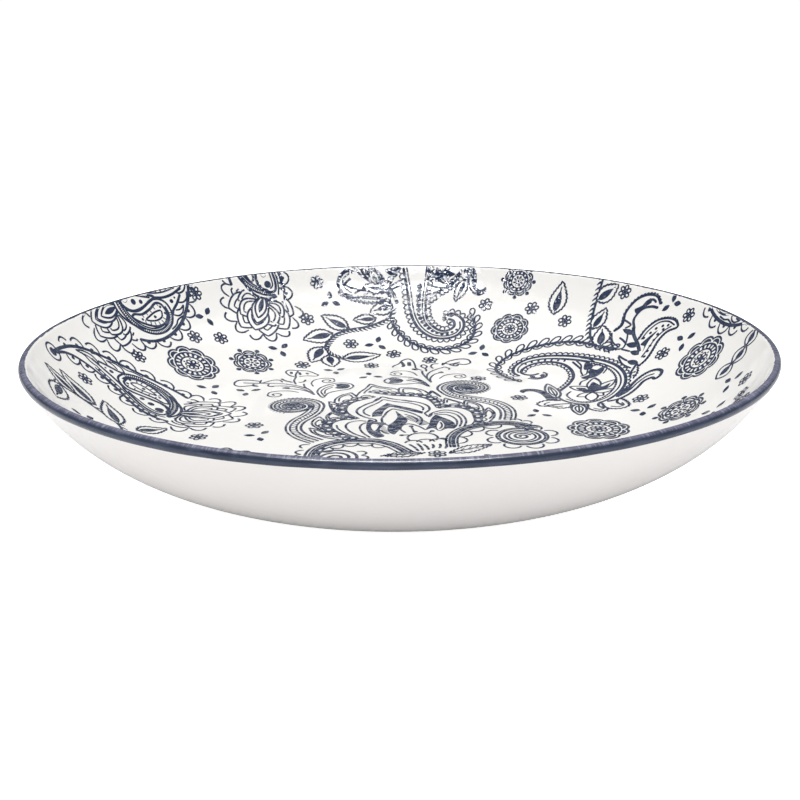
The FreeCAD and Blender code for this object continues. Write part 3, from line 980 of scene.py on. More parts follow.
def paisley():
    """The comma-shaped body over its lotus, with all that it holds."""
    with moved(LOTUS_PLACE, 2, 1.1):
        lotus()
    circle(KNOB, 4.5, 0.65)
    disc(KNOB, 2.2)
    upper = [KNOB + 1j, -155 + 13j, -152 + 22j, -146 + 30j, -137 + 36j, -127 + 39.6j, -117 + 40.8j,
             -108 + 40j, -101 + 37.5j, -95.5 + 33.5j]
    lower = [KNOB + 1 + 2j, -152.3 + 13j, -147.5 + 17.8j, -141 + 20.2j, -134 + 20.1j, -126 + 17.5j,
             -119 + 12.5j, -113 + 7.5j, -106 + 4j, -99 + 2.2j]
    scallops(upper[1:], 8, 5.2, 0.65, dotted=True)
    scallops(lower[1:], 7, -4.8, 0.65, dotted=True)
    body = upper + [-96.5 + 25j, -95.5 + 17j, -97 + 9j] + lower[:0:-1]
    blank(body)
    line(upper, 1.35)
    line(lower, 1.2)
    line([-104 + 31j, -99 + 25.5j, -96 + 18j, -96.8 + 11.5j, -100 + 7j], 1.0)

    # The round drop with a small hatched paisley in it.
    round_drop = [-127.7 + 29j, -126 + 33.5j, -121 + 37j, -114 + 38j, -107 + 35.8j, -102 + 31j, -99.2 + 25j,
                  -98.2 + 18j, -98.8 + 12j, -100.4 + 8j, -100.3 + 14j, -102.8 + 19.2j, -108 + 22j,
                  -114 + 22.3j, -120 + 21.6j, -125 + 23.6j, -127.4 + 26.5j]
    line(round_drop, 0.8, closed=True)
    edge = smooth(round_drop[:9])
    line(beside(edge, -2.0), 0.6)
    line(beside(edge, -3.2), 0.55)
    ticks(edge[8:], 44, -1.8, 0.1, 0.45)
    small = [-124.5 + 28.5j, -123 + 33j, -118 + 34.8j, -112 + 33.5j, -107 + 29.5j, -103 + 24.5j,
             -102.4 + 22.8j, -104.5 + 22.3j, -109 + 24.4j, -116 + 24.8j, -122 + 24.3j, -124.3 + 26.2j]
    line(small, 0.95, closed=True)
    seed = [-121.5 + 28.8j, -119.5 + 31.2j, -115 + 31.2j, -110.5 + 29j, -109.3 + 27.8j, -113 + 27.4j,
            -118 + 27.5j]
    line(seed, 0.6, closed=True)
    ticks(small[1:5], 7, -2.4, 0, 0.55)
    ticks(small[8:11], 5, -1.9, 0, 0.55)
    discs((-122.6 + 31j, -122.8 + 27.2j, -107.3 + 26.6j), 0.75)
    disc(-115.5 + 29.3j, 0.9)

    # The long drop with three dots, on its stem.
    line([-142 + 27.2j, -134 + 26.3j, -128 + 24.4j, -122.5 + 21.2j], 1.0)
    long_drop = [-123.5 + 21.4j, -118 + 21.9j, -111 + 22j, -105 + 20.4j, -101.6 + 16j, -101.2 + 11j,
                 -103 + 8.7j, -107 + 9.2j, -112 + 12j, -118 + 17j]
    line(long_drop, 1.05, closed=True)
    line([-121 + 20.6j, -115 + 16.5j, -110 + 12.9j, -105.5 + 10.7j, -103 + 11.6j], 0.5)
    for centre, radius in ((-114 + 19.4j, 1.2), (-109.5 + 17.3j, 1.6), (-105 + 13.6j, 2.05)):
        disc(centre, radius)

    # A ladder of small squares follows the lower edge.
    ladder = smooth([-138 + 24.6j, -130 + 22.3j, -123 + 18.8j, -116 + 13.2j, -110 + 8.9j, -105 + 7j,
                     -101 + 6.4j])
    line(ladder, 0.5)
    line(beside(ladder[:-6], -1.9), 0.5)
    here, heading = even(beside(ladder[4:-8], -0.95), 12)
    for foot, way in zip(here, heading):
        stroke([foot - 0.6 * way, foot + 0.6 * way], 1.1)

    # Long leaves in the narrow end.
    line([-149.6 + 22.4j, -147 + 26.6j, -142.5 + 29.2j, -138.5 + 28.2j, -137.6 + 26.6j], 0.6)
    line([-149.6 + 22.4j, -145.5 + 24.8j, -141 + 24.2j, -137.5 + 24.8j], 0.6)
    line([-147.2 + 24.4j, -143 + 26.6j, -140 + 26.5j], 0.45)
    line([-139 + 29.2j, -133.5 + 31.4j, -128 + 32.8j, -125.6 + 34.4j], 1.0)
    line([-143.5 + 30.5j, -141 + 32.8j, -137.5 + 33.2j, -134.5 + 31.6j], 0.55)
    line([-136 + 34.2j, -132 + 36.6j, -128.5 + 36.4j, -126.4 + 34.6j], 0.55)
    line([-136 + 34.2j, -132.5 + 34.6j, -129.5 + 33.4j], 0.5)
    line([-131 + 38j, -126 + 37.6j, -123 + 38.8j, -118 + 39.2j], 0.5)
    disc(-131.5 + 28.8j, 1.15)
    disc(-134.6 + 28.5j, 0.6)


@contextmanager
def copied(origin, to, turn, size=1.0, mirror=False):
    """Draw a motif again with its origin at another place."""
    with moved(to, turn, size, mirror), moved(-origin):
        yield


# %% Paisleys round the bowl
drawn["family"] = "paisleys"
paisley()
with copied(LOTUS_PLACE, -74.5 + 121j, 91, 0.97, mirror=True):
    paisley()
with copied(KNOB, -137 + 133j, -108):
    paisley()
with copied(-127 + 39.6j, 156 + 33j, 93):
    paisley()
tally()


# %% [markdown]
# ## The lotus in the middle
#
# The middle of the bowl holds a tall lotus: thin outer petals, dark bands with white eyes,
# nested petals, and a seed pod between two curled arches. Two snail scrolls stand beside it.
# It is not quite symmetrical on the ware, so each side keeps its own few guiding points.

# %% Parts of the big lotus
def eyed_band(points, width, eyes, eye=0.75):
    """A dark band, narrow at its ends, with white eyes along it."""
    path = smooth(points)
    half = 0.5 * width * np.sin(np.pi * np.clip(np.linspace(0.04, 0.96, len(path)), 0, 1)) ** 0.35
    edge = np.concatenate([beside(path, half), beside(path, -half)[::-1]])
    here, _ = even(path, eyes, ends=False)
    patch(edge, [ring_path(place, eye, 9) for place in here])
    return path


def outer_petal(points, tip):
    """An open petal with its tip at one of the points, and a finer line inside it."""
    path = smooth(points[:tip + 1])
    back = smooth(points[tip:])
    blank(np.concatenate([path, back]))
    line(path, 0.65)
    line(back, 0.65)
    middle = sum(points) / len(points)
    shrunk = [middle + 0.62 * (place - middle) for place in points]
    line(shrunk[:tip + 1], 0.5)
    line(shrunk[tip:], 0.5)


# %% Outer petals and eyed bands
drawn["family"] = "centre_lotus"
outer_petal([-19.8 + 40j, -18.5 + 46j, -16 + 52j, -14 + 59.3j, -9 + 54.5j, -3 + 51.5j, 1 + 48j], 3)
outer_petal([-0.4 + 44j, -0.6 + 48j, -0.2 + 52.6j, 5.9 + 52j, 10.5 + 48.6j, 13.3 + 43j], 2)
outer_petal([12.4 + 41j, 13.6 + 44.5j, 14.6 + 47.6j, 16.8 + 43j, 18.6 + 37.5j], 2)
outer_petal([-29.3 + 28j, -29.2 + 35.7j, -26.7 + 41.4j, -22.5 + 45.4j, -20.4 + 41j, -19.4 + 37j], 3)
outer_petal([19.6 + 28j, 19.8 + 32j, 20.4 + 36j, 24 + 32.4j, 27.5 + 28.5j, 29 + 24j], 2)
outer_petal([28.6 + 22j, 28.6 + 27j, 29 + 31.6j, 33.5 + 28.5j, 36 + 24j, 36.8 + 16j], 2)
outer_petal([36.2 + 10j, 37 + 16j, 39 + 21.2j, 41 + 15j, 40.6 + 8j, 38 + 1j], 2)
outer_petal([-25.5 + 10.5j, -28.8 + 16j, -30.9 + 23.6j, -32 + 32.2j, -28.8 + 29.5j, -26.6 + 25j], 3)
outer_petal([-31 + 4.5j, -32 + 9j, -31.4 + 13j, -29.7 + 17j, -27 + 13.6j, -24.6 + 10.6j], 3)
outer_petal([-28 - 17j, -33.9 - 7j, -37.3 - 1j, -37.4 + 4.5j, -35 + 10.1j, -32.8 + 5.6j, -31.4 + 0j], 4)
outer_petal([-25 - 20.4j, -31 - 17.6j, -36.4 - 11.5j, -38.4 - 5j, -34.6 - 7.4j, -31 - 11j], 3)

left_upper = [-11.4 + 39.4j, -17 + 36j, -22 + 32j, -25 + 26j, -25.4 + 18j, -22.5 + 11j, -18.2 + 6.6j]
left_lower = [-19.4 + 7.8j, -25.5 + 6.6j, -30 + 2.6j, -31 - 4j, -28.6 - 10j, -24 - 15.4j, -17.4 - 19.8j]
top_band = [-14.4 + 47j, -9.5 + 45j, -3 + 42.4j, 4 + 41.2j, 9.4 + 39.6j, 13.8 + 35.6j, 16 + 29.6j,
            17.2 + 21.4j]
right_band = [16.6 + 21.4j, 22 + 23.8j, 28 + 22.2j, 32.6 + 16.4j, 33.6 + 9j, 33.2 + 2j, 31 - 3j]
for points, eyes, side in ((left_upper, 8, -1), (left_lower, 8, -1), (top_band, 11, 1), (right_band, 8, 1)):
    path = smooth(points)
    scallops(beside(path, side * 1.5)[2:-2], eyes, side * 2.2, 0.5)
    eyed_band(points, 4.8, eyes, 0.95)
tally()


# %% Nested petals in the heart
ogee_left = [-8.3 + 38.7j, -10.4 + 33.4j, -16 + 26j, -18.8 + 20j, -18.7 + 14.8j, -15.3 + 9j, -10.5 + 5.4j]
ogee_right = [-8.3 + 38.7j, -2.4 + 34.6j, 4.4 + 32j, 9.8 + 28.2j, 12.6 + 23.6j, 12.8 + 18.4j, 10.6 + 13.6j]
line(ogee_left, 0.75)
line(ogee_right, 0.75)
second_left = [-7.6 + 34.6j, -9.8 + 29.6j, -13.6 + 24j, -15.9 + 19j, -15.6 + 14.4j, -13 + 10.4j]
second_right = [-7.6 + 34.6j, -2 + 31j, 4 + 29j, 8.2 + 25.4j, 10.2 + 21.6j, 10 + 18j]
line(second_left, 0.6)
line(second_right, 0.6)
line([-12.6 + 29.4j, -11.2 + 33.6j, -9.8 + 37j], 0.45)
line([-5.6 + 36.2j, 0 + 33.4j, 5.4 + 30.6j], 0.45)

arch_out = [-12.2 + 9.4j, -12 + 15j, -9.4 + 21.6j, -5.8 + 29.2j, -1.6 + 25.6j, 5 + 21j, 10.2 + 16j]
arch_in = [9.6 + 13.2j, 4.6 + 17j, -1 + 21.4j, -4.2 + 23.2j, -6.6 + 19j, -7.6 + 14j, -8 + 10.4j]
patch(np.concatenate([smooth(arch_out[:4]), smooth(arch_out[3:]), smooth(arch_in)]))

inner_left = [-3.3 + 20.6j, -5.6 + 16j, -6.8 + 11j, -7.9 + 6.4j, -7.2 + 0.6j, -4.8 - 3j]
inner_right = [-3.3 + 20.6j, 2.6 + 16.4j, 6.6 + 12j, 9.2 + 6.4j, 9 + 0.6j, 8.2 - 2.4j]
line(inner_left, 0.7)
line(inner_right, 0.7)
line([-10.4 + 5.4j, -10 + 1.4j, -8.6 - 1.6j], 0.6)
line([10.6 + 13.6j, 12.2 + 9.6j, 13.4 + 13.4j], 0.6)
patch([-1.9 + 17j, -1.2 + 9j, -2.6 + 3j, -4.8 - 2j, -5.4 - 7j, -4.6 - 12j, -2.6 - 14.4j, -1.2 - 11j,
       0.4 - 6j,
       2 - 1j, 3.2 + 4j, 1.6 + 9.4j, 0 + 13j])
line([2 + 12.6j, 5.6 + 9j, 7.4 + 5j, 7 + 1j], 0.5)
ticks([2.8 + 8.6j, 7 + 4.4j, 10.8 - 1.4j], 10, -2.4, 2.4, 0.8)
tally()


# %% Petals on the right and left of the heart
right_petals = ([14 + 14.4j, 19.5 + 18j, 24.6 + 15.6j, 27.4 + 9.4j, 28.2 + 2j, 27 - 5j],
                [14.6 + 12.4j, 19.5 + 15j, 23.6 + 12.6j, 25.8 + 7.4j, 26.2 + 1.4j, 25 - 5j],
                [15 + 10.8j, 19 + 12j, 22 + 9.4j, 24 + 4.6j, 24.2 - 0.6j, 23 - 6j])
for points in right_petals:
    line(points, 0.6)
line([14 + 14.4j, 13.2 + 10j, 12.2 + 8.4j], 0.6)
core = smooth([17.2 + 3.4j, 18.6 - 1.4j, 18.2 - 6.4j, 16.4 - 9.6j, 15.4 - 5.4j, 16 - 0.6j], True)
patch([15.4 + 10.6j, 19.4 + 6.6j, 22.4 + 2j, 23.4 - 3.4j, 22.6 - 7.4j, 19.8 - 7.2j, 16.4 - 10.4j,
       13.6 - 6.6j,
       10.8 - 8.8j, 12.2 - 2j, 13.2 + 5.4j], [core])
line([17.1 + 1.4j, 17.7 - 2.4j, 17.2 - 6j, 16.4 - 7.6j], 0.5)
left_petals = ([-14.2 - 18.4j, -19.4 - 12.8j, -22.4 - 6.7j, -23 - 2j, -21.6 + 1.8j, -17.6 + 4j,
                -14.4 + 3.2j],
               [-12.4 - 18.2j, -15.6 - 12j, -17 - 6j, -16.4 - 1.4j, -14.4 + 1.4j])
line(left_petals[0], 0.65)
line(left_petals[1], 0.6)
line([-27 - 1.6j, -26.4 - 5.6j, -24 - 10.6j, -20.6 - 15j, -17.4 - 17.8j], 0.5)
patch([-13.2 + 5.6j, -10 + 2.4j, -6 + 0.4j, -7.4 - 3j, -8.6 - 8j, -8 - 12.4j, -6.6 - 16.6j, -9.4 - 18.4j,
       -12.2 - 14.6j, -14 - 9j, -14.4 - 3j],
      [smooth([-11.6 - 0.4j, -9.2 - 1.4j, -9.4 - 5j, -10.8 - 9.6j, -12 - 6.4j, -12.3 - 3j], True)])
ticks([-9.4 - 2.2j, -7.6 - 7j, -6.8 - 12j], 8, -0.4, 1.8, 0.5)
line([-4.6 - 13.8j, -6.4 - 12.4j, -8.4 - 8.6j], 0.55)
tally()


# %% Seed pod, its leaves and the little flower under it
pod = 9.2 - 19j
line(pod + 6.2 * np.exp(1j * np.radians(np.linspace(-30, 212, 40))), 0.65)
for middle, radius in ((5.4 - 25.6j, 3.4), (10.4 - 24.4j, 3.6), (15.6 - 24j, 3.6)):
    line(middle + radius * np.exp(1j * np.radians(np.linspace(10, 175, 24))), 0.6)
line([15.4 - 20j, 17.4 - 19.6j, 19.4 - 20.8j], 0.55)
for foot, top in ((3.6 - 27j, 7.2 - 35j), (6.8 - 26j, 9 - 34.6j), (9.4 - 27j, 11.4 - 33.6j),
                  (13 - 27j, 13 - 32j), (16 - 26.6j, 15.6 - 32j), (18.6 - 26j, 18 - 32.4j)):
    line([foot, 0.5 * (foot + top) + 0.4, top], 0.75)
for foot, top in ((6 - 12.6j, 4.6 - 4j), (12 - 12.4j, 13.4 - 10.4j), (3.6 - 15.2j, 0.6 - 15.6j)):
    line([foot, top], 0.6)
    disc(top, 1.1)
disc(6.4 - 11j, 1.0)
line([0.4 - 2.6j, 3.6 - 0.8j, 7.4 - 3.6j, 10.6 - 8.8j], 0.6)
line([0.4 - 2.6j, 0.2 - 8j, 2.2 - 12.4j], 0.6)
for tip, width, leaf_base in ((37 - 28j, 8.6, 19.4 - 37.4j), (-8 - 40.4j, 7.6, 10 - 37.4j)):
    blank(pointed(leaf_base, tip, width, 0.5))
    teeth(np.array([leaf_base, leaf_base + 0.45 * (tip - leaf_base) + 0.44j * width, tip]), 9, 0.7, 0.6)
    teeth(np.array([tip, leaf_base + 0.45 * (tip - leaf_base) - 0.44j * width, leaf_base]), 9, 0.7, 0.6)
    line([leaf_base, tip], 0.55)
    for share in (0.25, 0.42, 0.58, 0.74):
        foot = leaf_base + share * (tip - leaf_base)
        for side in (1j, -1j):
            stroke([foot, foot + (tip - leaf_base) * 0.11 + side * 0.26 * width], 0.4)
tally()


# %% Curled arches beside the pod
def nested_arches(points, gaps, widths):
    """Parallel lines along one curve, each at its own gap and with its own width."""
    path = smooth(points)
    for gap, width in zip(gaps, widths):
        line(beside(path, gap), width)
    return path


left_arch = [-36 - 52j, -37.6 - 44j, -37.4 - 36j, -34.6 - 28.6j, -28.6 - 22.8j, -20 - 19.8j, -10 - 20.4j,
             -2 - 25.6j, 3.6 - 33.6j, 5.6 - 37j]
path = nested_arches(left_arch, (0, -1.6, -3.1, -5.4), (0.8, 0.6, 1.2, 0.6))
scallops(beside(path, -5.6)[34:-26], 5, -3.2, 0.55)
scallops([-36.8 - 26.6j, -39.4 - 30.6j], 1, -2.6, 0.6)
scallops([-38.6 - 33j, -39.4 - 38.6j, -39 - 43j], 2, -2.8, 0.6)
discs((-31.2 - 31.3j, -32.6 - 35.2j), 1.25)
disc(-33 - 39.8j, 1.5)
spiral(-25.2 - 42.3j, 9.4, 1.2, 2.6, 150, 1.0, -1)
scallops([-17.4 - 35j, -15.4 - 39.6j, -15.8 - 44.6j], 2, 3.0, 0.6)

right_arch = [20.2 - 31j, 20 - 24j, 20.8 - 17.6j, 23.6 - 11j, 28.4 - 5.6j, 35.6 - 1.4j, 44.6 + 0.4j,
              51.6 - 2.2j, 57.6 - 8j]
path = nested_arches(right_arch, (0, -1.5, -3.2, 1.4), (0.6, 1.3, 0.6, 0.6))
scallops(beside(path, -3.6)[8:-34], 4, -3.4, 0.55)
scallops([47 + 3j, 52 + 1.4j, 55.4 - 2j], 2, 2.4, 0.55)
rings = 50.2 - 18.1j
blank(ring_path(rings, 11.2))
with moved(rings):
    for bump in range(7):
        middle = 12.0 * np.exp(1j * math.radians(62 - 44 * bump))
        line(middle + 3.5 * np.exp(1j * (np.angle(middle) + np.linspace(-1.75, 1.75, 22))), 0.6)
    blank(ring_path(0, 10.9))
    for radius, width in ((10.6, 0.7), (9.4, 0.6), (7.3, 0.9), (5.5, 0.6)):
        circle(0, radius, width)
    spiral(0, 3.9, 0.6, 1.6, 20, 0.9)
discs((49.4 - 5.6j, 53 - 9.2j), 1.3)
tally()


# %% Snail scrolls
def snail(centre, start, curl, tail):
    """A band of parallel lines that runs up its tail and coils into the middle of a shell."""
    share = np.linspace(0, 1, 150)
    radius = 8.6 * (1 - share) ** 0.8 + 1.0
    coil = centre + radius * np.exp(1j * (math.radians(start) + curl * 3.6 * np.pi * share))
    path = np.concatenate([smooth(tail + [coil[0]])[:-1], coil])
    narrow = np.concatenate([np.ones(len(path) - len(coil)), 1 - 0.75 * share])
    for gap, width in ((-3.7, 0.75), (-1.8, 0.55), (0.9, 0.55), (2.7, 0.6)):
        heading = np.gradient(path)
        line(path + 1j * curl * heading / np.abs(heading) * gap * narrow, width)
    whole = len(path) - 90
    lane = beside(path, -1.8 * curl)[:whole]
    ticks(lane, int(whole * 0.28), 0, 2.7 * curl, 0.5, lean=35 * curl)
    ticks(beside(path, -3.7 * curl)[:whole], int(whole * 0.36), -0.7 * curl, 0.4 * curl, 0.55)
    for tick in range(10):
        way = np.exp(2j * math.pi * (tick + 0.3) / 10)
        line([centre + 1.0 * way, centre + 5.0 * way * np.exp(0.5j * curl)], 0.6, swell=(1.5, 0.7))
    disc(centre, 1.3)


snail(-47 + 25.6j, -10, 1, [-34.6 - 23j, -41 - 16.6j, -44.8 - 9.4j, -45.6 - 2j, -44 + 5j, -40.6 + 11.6j,
                           -38.2 + 18j])
snail(30.6 + 51.6j, 195, -1, [46.4 + 3.6j, 47.6 + 12j, 47 + 20j, 43.4 + 27.6j, 37 + 33j, 29.6 + 37j,
                              24.4 + 42j])
tally()


# %% [markdown]
# ## The hooked paisleys and their garlands
#
# On the right and at the back, a hooked paisley curls under an arched garland.
# The garland is a stem with slanted open drops outside and small dotted scallops inside.
# The body has two bold lines with a frill of tiny scallops, and holds flowers of its own.

# %% Garland, frill and leaf
def garland(stem, count, length, side=1):
    """Slanted open drops outside a bold stem, and dotted scallops inside it."""
    path = smooth(stem)
    here, heading = even(path, count, ends=False)
    for foot, way, size in zip(here, heading, spread((0.8, 1.0, 0.8), count)):
        out = way * np.exp(-1j * side * math.radians(150)) * -1
        outline = drop(foot, foot + out * length * size, 3.3 * size)
        blank(outline)
        line(outline, 0.55, closed=True)
    scallops(path, count, -side * 2.3, 0.5)
    line(path, 1.2)
    for foot, way in zip(here, heading):
        disc(foot - 1j * side * way * 0.7, 0.85)


def leaf(base, tip, width):
    """A serrated leaf with a dark heart."""
    along = tip - base
    side = 0.5j * along / abs(along) * width
    left = [base, base + 0.22 * along + 0.85 * side, base + 0.5 * along + side,
            base + 0.8 * along + 0.5 * side, tip]
    right = [base, base + 0.22 * along - 0.85 * side, base + 0.5 * along - side,
             base + 0.8 * along - 0.5 * side, tip]
    blank(left + right[-2:0:-1])
    count = max(5, int(abs(along) * growth() / 1.7))
    teeth(left, count, 0.55, 0.7)
    teeth(right[::-1], count, 0.55, 0.7)
    blob(pointed(base + 0.08 * along, base + 0.75 * along, 0.46 * width, 0.4))
    line([base - 0.04 * along, base + 0.86 * along], 0.4)


# %% The right-hand hooked paisley
def hooked_flowers():
    """The little dark lotuses that grow inside the hooked paisley."""
    for tip, width in ((79 + 51j, 5.4), (100 + 48.6j, 5.4), (91 + 56j, 6.4)):
        petal(89 + 42.5j, tip, width, 0.5, inner=0)
    blob([81.6 + 48.6j, 85.6 + 46.8j, 86.2 + 45j, 87.6 + 48.4j, 90 + 52.2j, 92 + 48.4j, 93.2 + 45.4j,
          97.4 + 47j,
          95.6 + 44j, 93.4 + 41.4j, 89 + 40.4j, 84.6 + 41.4j, 83 + 44.4j])
    for tip, width in ((80.4 + 36.2j, 4.6), (92 + 35j, 4.6), (85.6 + 29.6j, 5.6), (97.6 + 39.6j, 3.6)):
        petal(88 + 40.6j, tip, width, 0.5, inner=0)
    blob([85.6 + 59.6j, 89.4 + 60.6j, 89.6 + 63.6j, 91.4 + 65.8j, 93.6 + 63.4j, 97.6 + 64.4j, 96.6 + 60.6j,
          93.4 + 57.6j, 89.6 + 56.8j, 86.6 + 57.6j])
    line([85.4 + 61j, 88.4 + 62j, 90 + 66j, 93 + 67.6j, 97.8 + 66j, 98.4 + 61.6j, 95.8 + 58j], 0.5)
    line([88.6 + 56.6j, 85 + 55j, 83.6 + 51.4j], 0.6)
    line([91.4 + 56.6j, 93.2 + 52.4j], 0.6)
    blob([88.2 + 66.6j, 90 + 72.8j, 92.8 + 68.6j, 91.4 + 65.6j])
    line([86.6 + 61.4j, 86.4 + 66j, 87.4 + 71.4j, 86 + 76.6j], 0.5)
    line([84 + 76.8j, 85.6 + 72j, 86.8 + 68j], 0.7)
    line([94 + 70.6j, 92 + 74.6j, 88.4 + 78j], 0.6)


def hooked_paisley():
    """The curled body with its frills, its inner edge and its flowers."""
    outer = [69 + 70j, 66.6 + 67.4j, 62 + 67j, 57.4 + 70j, 55 + 76j, 56.4 + 83j, 61.6 + 87.8j, 69 + 88.6j,
             77 + 86j,
             85 + 81.4j, 92 + 75.6j, 98.6 + 68.6j, 103.4 + 60j, 105 + 50j, 103 + 41j, 98 + 33.6j,
             91.6 + 28j,
             84 + 24.8j, 77.6 + 26.4j, 73 + 31.6j, 71.6 + 38.6j, 74 + 46j, 79 + 54.6j, 82.2 + 62j,
             82.4 + 69j,
             80 + 75.8j, 75.4 + 80.6j, 69.6 + 83j, 64 + 82.4j, 60 + 79j, 58.8 + 74.6j, 61 + 71.4j,
             64.4 + 70.6j,
             67 + 71.8j]
    blank(outer)
    edge = smooth(outer[3:])
    back = smooth(outer[3:20])
    front = smooth(outer[19:-3])
    line(edge, 1.25)
    line(beside(back[8:], -2.3), 0.5)
    scallops(beside(back, 0.9), 46, 1.5, 0.45)
    scallops(beside(front, 0.9), 26, 1.3, 0.45)
    inner = smooth([59.4 + 84.6j, 64.6 + 86j, 71 + 85.6j, 78 + 82.4j, 86 + 77j, 92.6 + 70.6j, 98 + 63.4j,
                    100.8 + 55j, 100.4 + 46.6j, 97.6 + 39.6j, 92.4 + 33j, 86 + 28.6j, 80 + 28.6j,
                    76.8 + 33j,
                    75.8 + 39j, 78.4 + 44.6j])
    line(inner[:70], 0.6)
    teeth(inner[70:], 42, -0.5, 0.55, lean=0.1)
    here, heading = even(inner[4:44], 7)
    for foot, way in zip(here, heading):
        stroke([foot, foot - 1.9j * way], 1.5)
    rays(66 + 68.2j, 1.4, 3.9, -200 + 17 * np.arange(15), 0.75)
    line([61 + 66.2j, 65 + 64.6j, 69.4 + 66.4j, 70.4 + 70.4j, 69 + 72.4j], 0.7)
    hooked_flowers()


def arched_garland():
    garland([57 + 60.4j, 52 + 67j, 48.6 + 74j, 47 + 82j, 49.4 + 89j, 55 + 94.6j, 63 + 97.4j, 72 + 97.4j,
             81 + 95.2j,
             88.6 + 91.4j, 95 + 85.6j, 100.6 + 79.4j, 104.4 + 74.8j], 17, 7.4)


def growths():
    """A spear, two bushes and a fleur under the paisley, and the curls beside its foot."""
    for base, tip, width in ((79.4 + 24.6j, 77.8 + 9.4j, 6.6), (71 + 35j, 69.2 + 57j, 6.4)):
        outline = pointed(base, tip, width, 0.4)
        blank(outline)
        line(outline, 0.8, closed=True)
        line(pointed(base + 0.14 * (tip - base), base + 0.8 * (tip - base), 0.5 * width, 0.4), 0.5,
             closed=True)
        line([base, base + 0.7 * (tip - base)], 0.5)
    for points in ([71.6 + 30j, 66 + 30.6j, 61.4 + 26j, 62.6 + 22.8j, 66.4 + 22.6j, 70 + 19.8j, 74.8 + 21j,
                    75.8 + 26j],
                   [84 + 24.4j, 83.4 + 18.4j, 88 + 14.8j, 91 + 17.2j, 90.6 + 22j, 88.6 + 26j],
                   [90.4 + 25.6j, 91 + 19.4j, 95.6 + 16.2j, 100.2 + 17.4j, 100 + 23.4j, 97.8 + 28.6j]):
        blank(points)
        teeth(points[::-1], 16, 0.8, 0.8)
        middle = sum(points) / len(points)
        line([points[-1], middle + 0.3 * (points[-1] - middle), middle + 0.55 * (points[3] - middle)], 0.9)
        line([middle + 0.6 * (place - middle) for place in points[1:-1]], 0.5)
    curl = [55.2 + 44.4j, 56 + 47.6j, 60 + 49.2j, 64.6 + 47.6j, 67.6 + 43.6j, 69.4 + 37j, 71 + 31j,
            66.4 + 31.4j,
            65.4 + 36j, 64 + 41.4j, 61 + 45.2j, 58 + 44.8j, 56.6 + 42.6j]
    patch(curl)
    hook = [97.6 + 30.4j, 102.6 + 34.4j, 105.6 + 38.4j, 110 + 42.2j, 115 + 43.6j, 119.2 + 41.8j,
            120.6 + 38.4j,
            118.6 + 35.4j, 116.2 + 35.2j, 115.4 + 37.4j, 111.6 + 37.6j, 108 + 34.4j, 103.6 + 30.6j,
            98 + 27.6j,
            92.4 + 26.8j]
    blank(hook)
    line(hook, 1.3)
    line([99 + 31.6j, 104 + 34.2j, 108.6 + 38.4j, 113.6 + 40.6j, 117.2 + 39.6j], 0.6)
    patch([97 + 30.4j, 99.4 + 34.6j, 103.4 + 38j, 105.4 + 36j, 102.4 + 32.2j])
    ticks(hook[:8], 26, -1.1, -0.3, 0.4)


def hooked_group():
    """The whole motif, drawn back to front."""
    arched_garland()
    hooked_paisley()
    growths()


drawn["family"] = "hooked_paisleys"
hooked_group()
tally()


# %% The hooked paisley at the back, with its garland
def back_hook():
    garland([-4.4 + 133j, -2.8 + 127j, 1 + 120.6j, 6 + 114.8j, 12 + 110.4j, 18.4 + 108j, 25 + 107.6j,
             31.6 + 109.6j,
             36.6 + 113.6j, 39.2 + 119.4j, 39.6 + 126j, 38 + 131.6j], 15, 7.0, side=-1)
    back_outer = [2.6 + 163j, 4.6 + 150j, 5.6 + 140j, 7.2 + 132j, 11 + 124j, 17 + 118.2j, 24 + 116.4j,
                  30 + 118j,
                  33.6 + 122.4j, 34 + 127.4j, 31.4 + 131.6j, 27.6 + 133.4j, 24.6 + 132j]
    back_inner = [18 + 163j, 15.6 + 150j, 14.4 + 140j, 14.8 + 132j, 17.4 + 126.6j, 21.6 + 122.6j,
                  26 + 122.4j,
                  29 + 125j, 28.6 + 128.6j, 26 + 130.2j]
    blank(back_outer + back_inner[::-1])
    line(back_outer, 1.25)
    line(back_inner, 1.1)
    line(beside(smooth(back_outer[:10]), 1.9), 0.5)
    line(beside(smooth(back_inner[:7]), -1.7), 0.5)
    scallops(beside(smooth(back_outer), -0.9), 29, -2.2, 0.45)
    scallops(beside(smooth(back_inner), 0.8), 20, 2.0, 0.45)
    beads([11.6 + 152j, 10.6 + 142j, 10.8 + 134j, 13.6 + 127.4j, 18.4 + 122j, 24.4 + 119.4j, 30 + 122j], 17,
          1.0,
          (1.7, 1.2, 0.8))
    rays(26.4 + 130.6j, 1.2, 3.6, 30 + 22 * np.arange(9), 0.7)


back_hook()
tally()


# %% [markdown]
# ## Leafy branches and plumes
#
# Branches with serrated, dark-hearted leaves link the big motifs, and their stems carry short needles.
# Curled plumes rise beside the hooked paisley. The branch at the back is drawn first,
# and the same helpers then draw the others from their own few guiding points.

# %% Branches
def branch(stem, needles, side, leaves):
    """A stem with short needles on one side, and leaves given by base, tip and width."""
    path = smooth(stem)
    here, heading = even(path, needles)
    for foot, way in zip(here[1:], heading[1:]):
        out = way * np.exp(1j * side * math.radians(125))
        line([foot, foot + 1.6 * out + 0.5 * way, foot + 3.2 * out], 0.75, swell=(1.4, 1, 0.4))
    line(path, 1.0)
    for base, tip, size in leaves:
        leaf(base, tip, size)


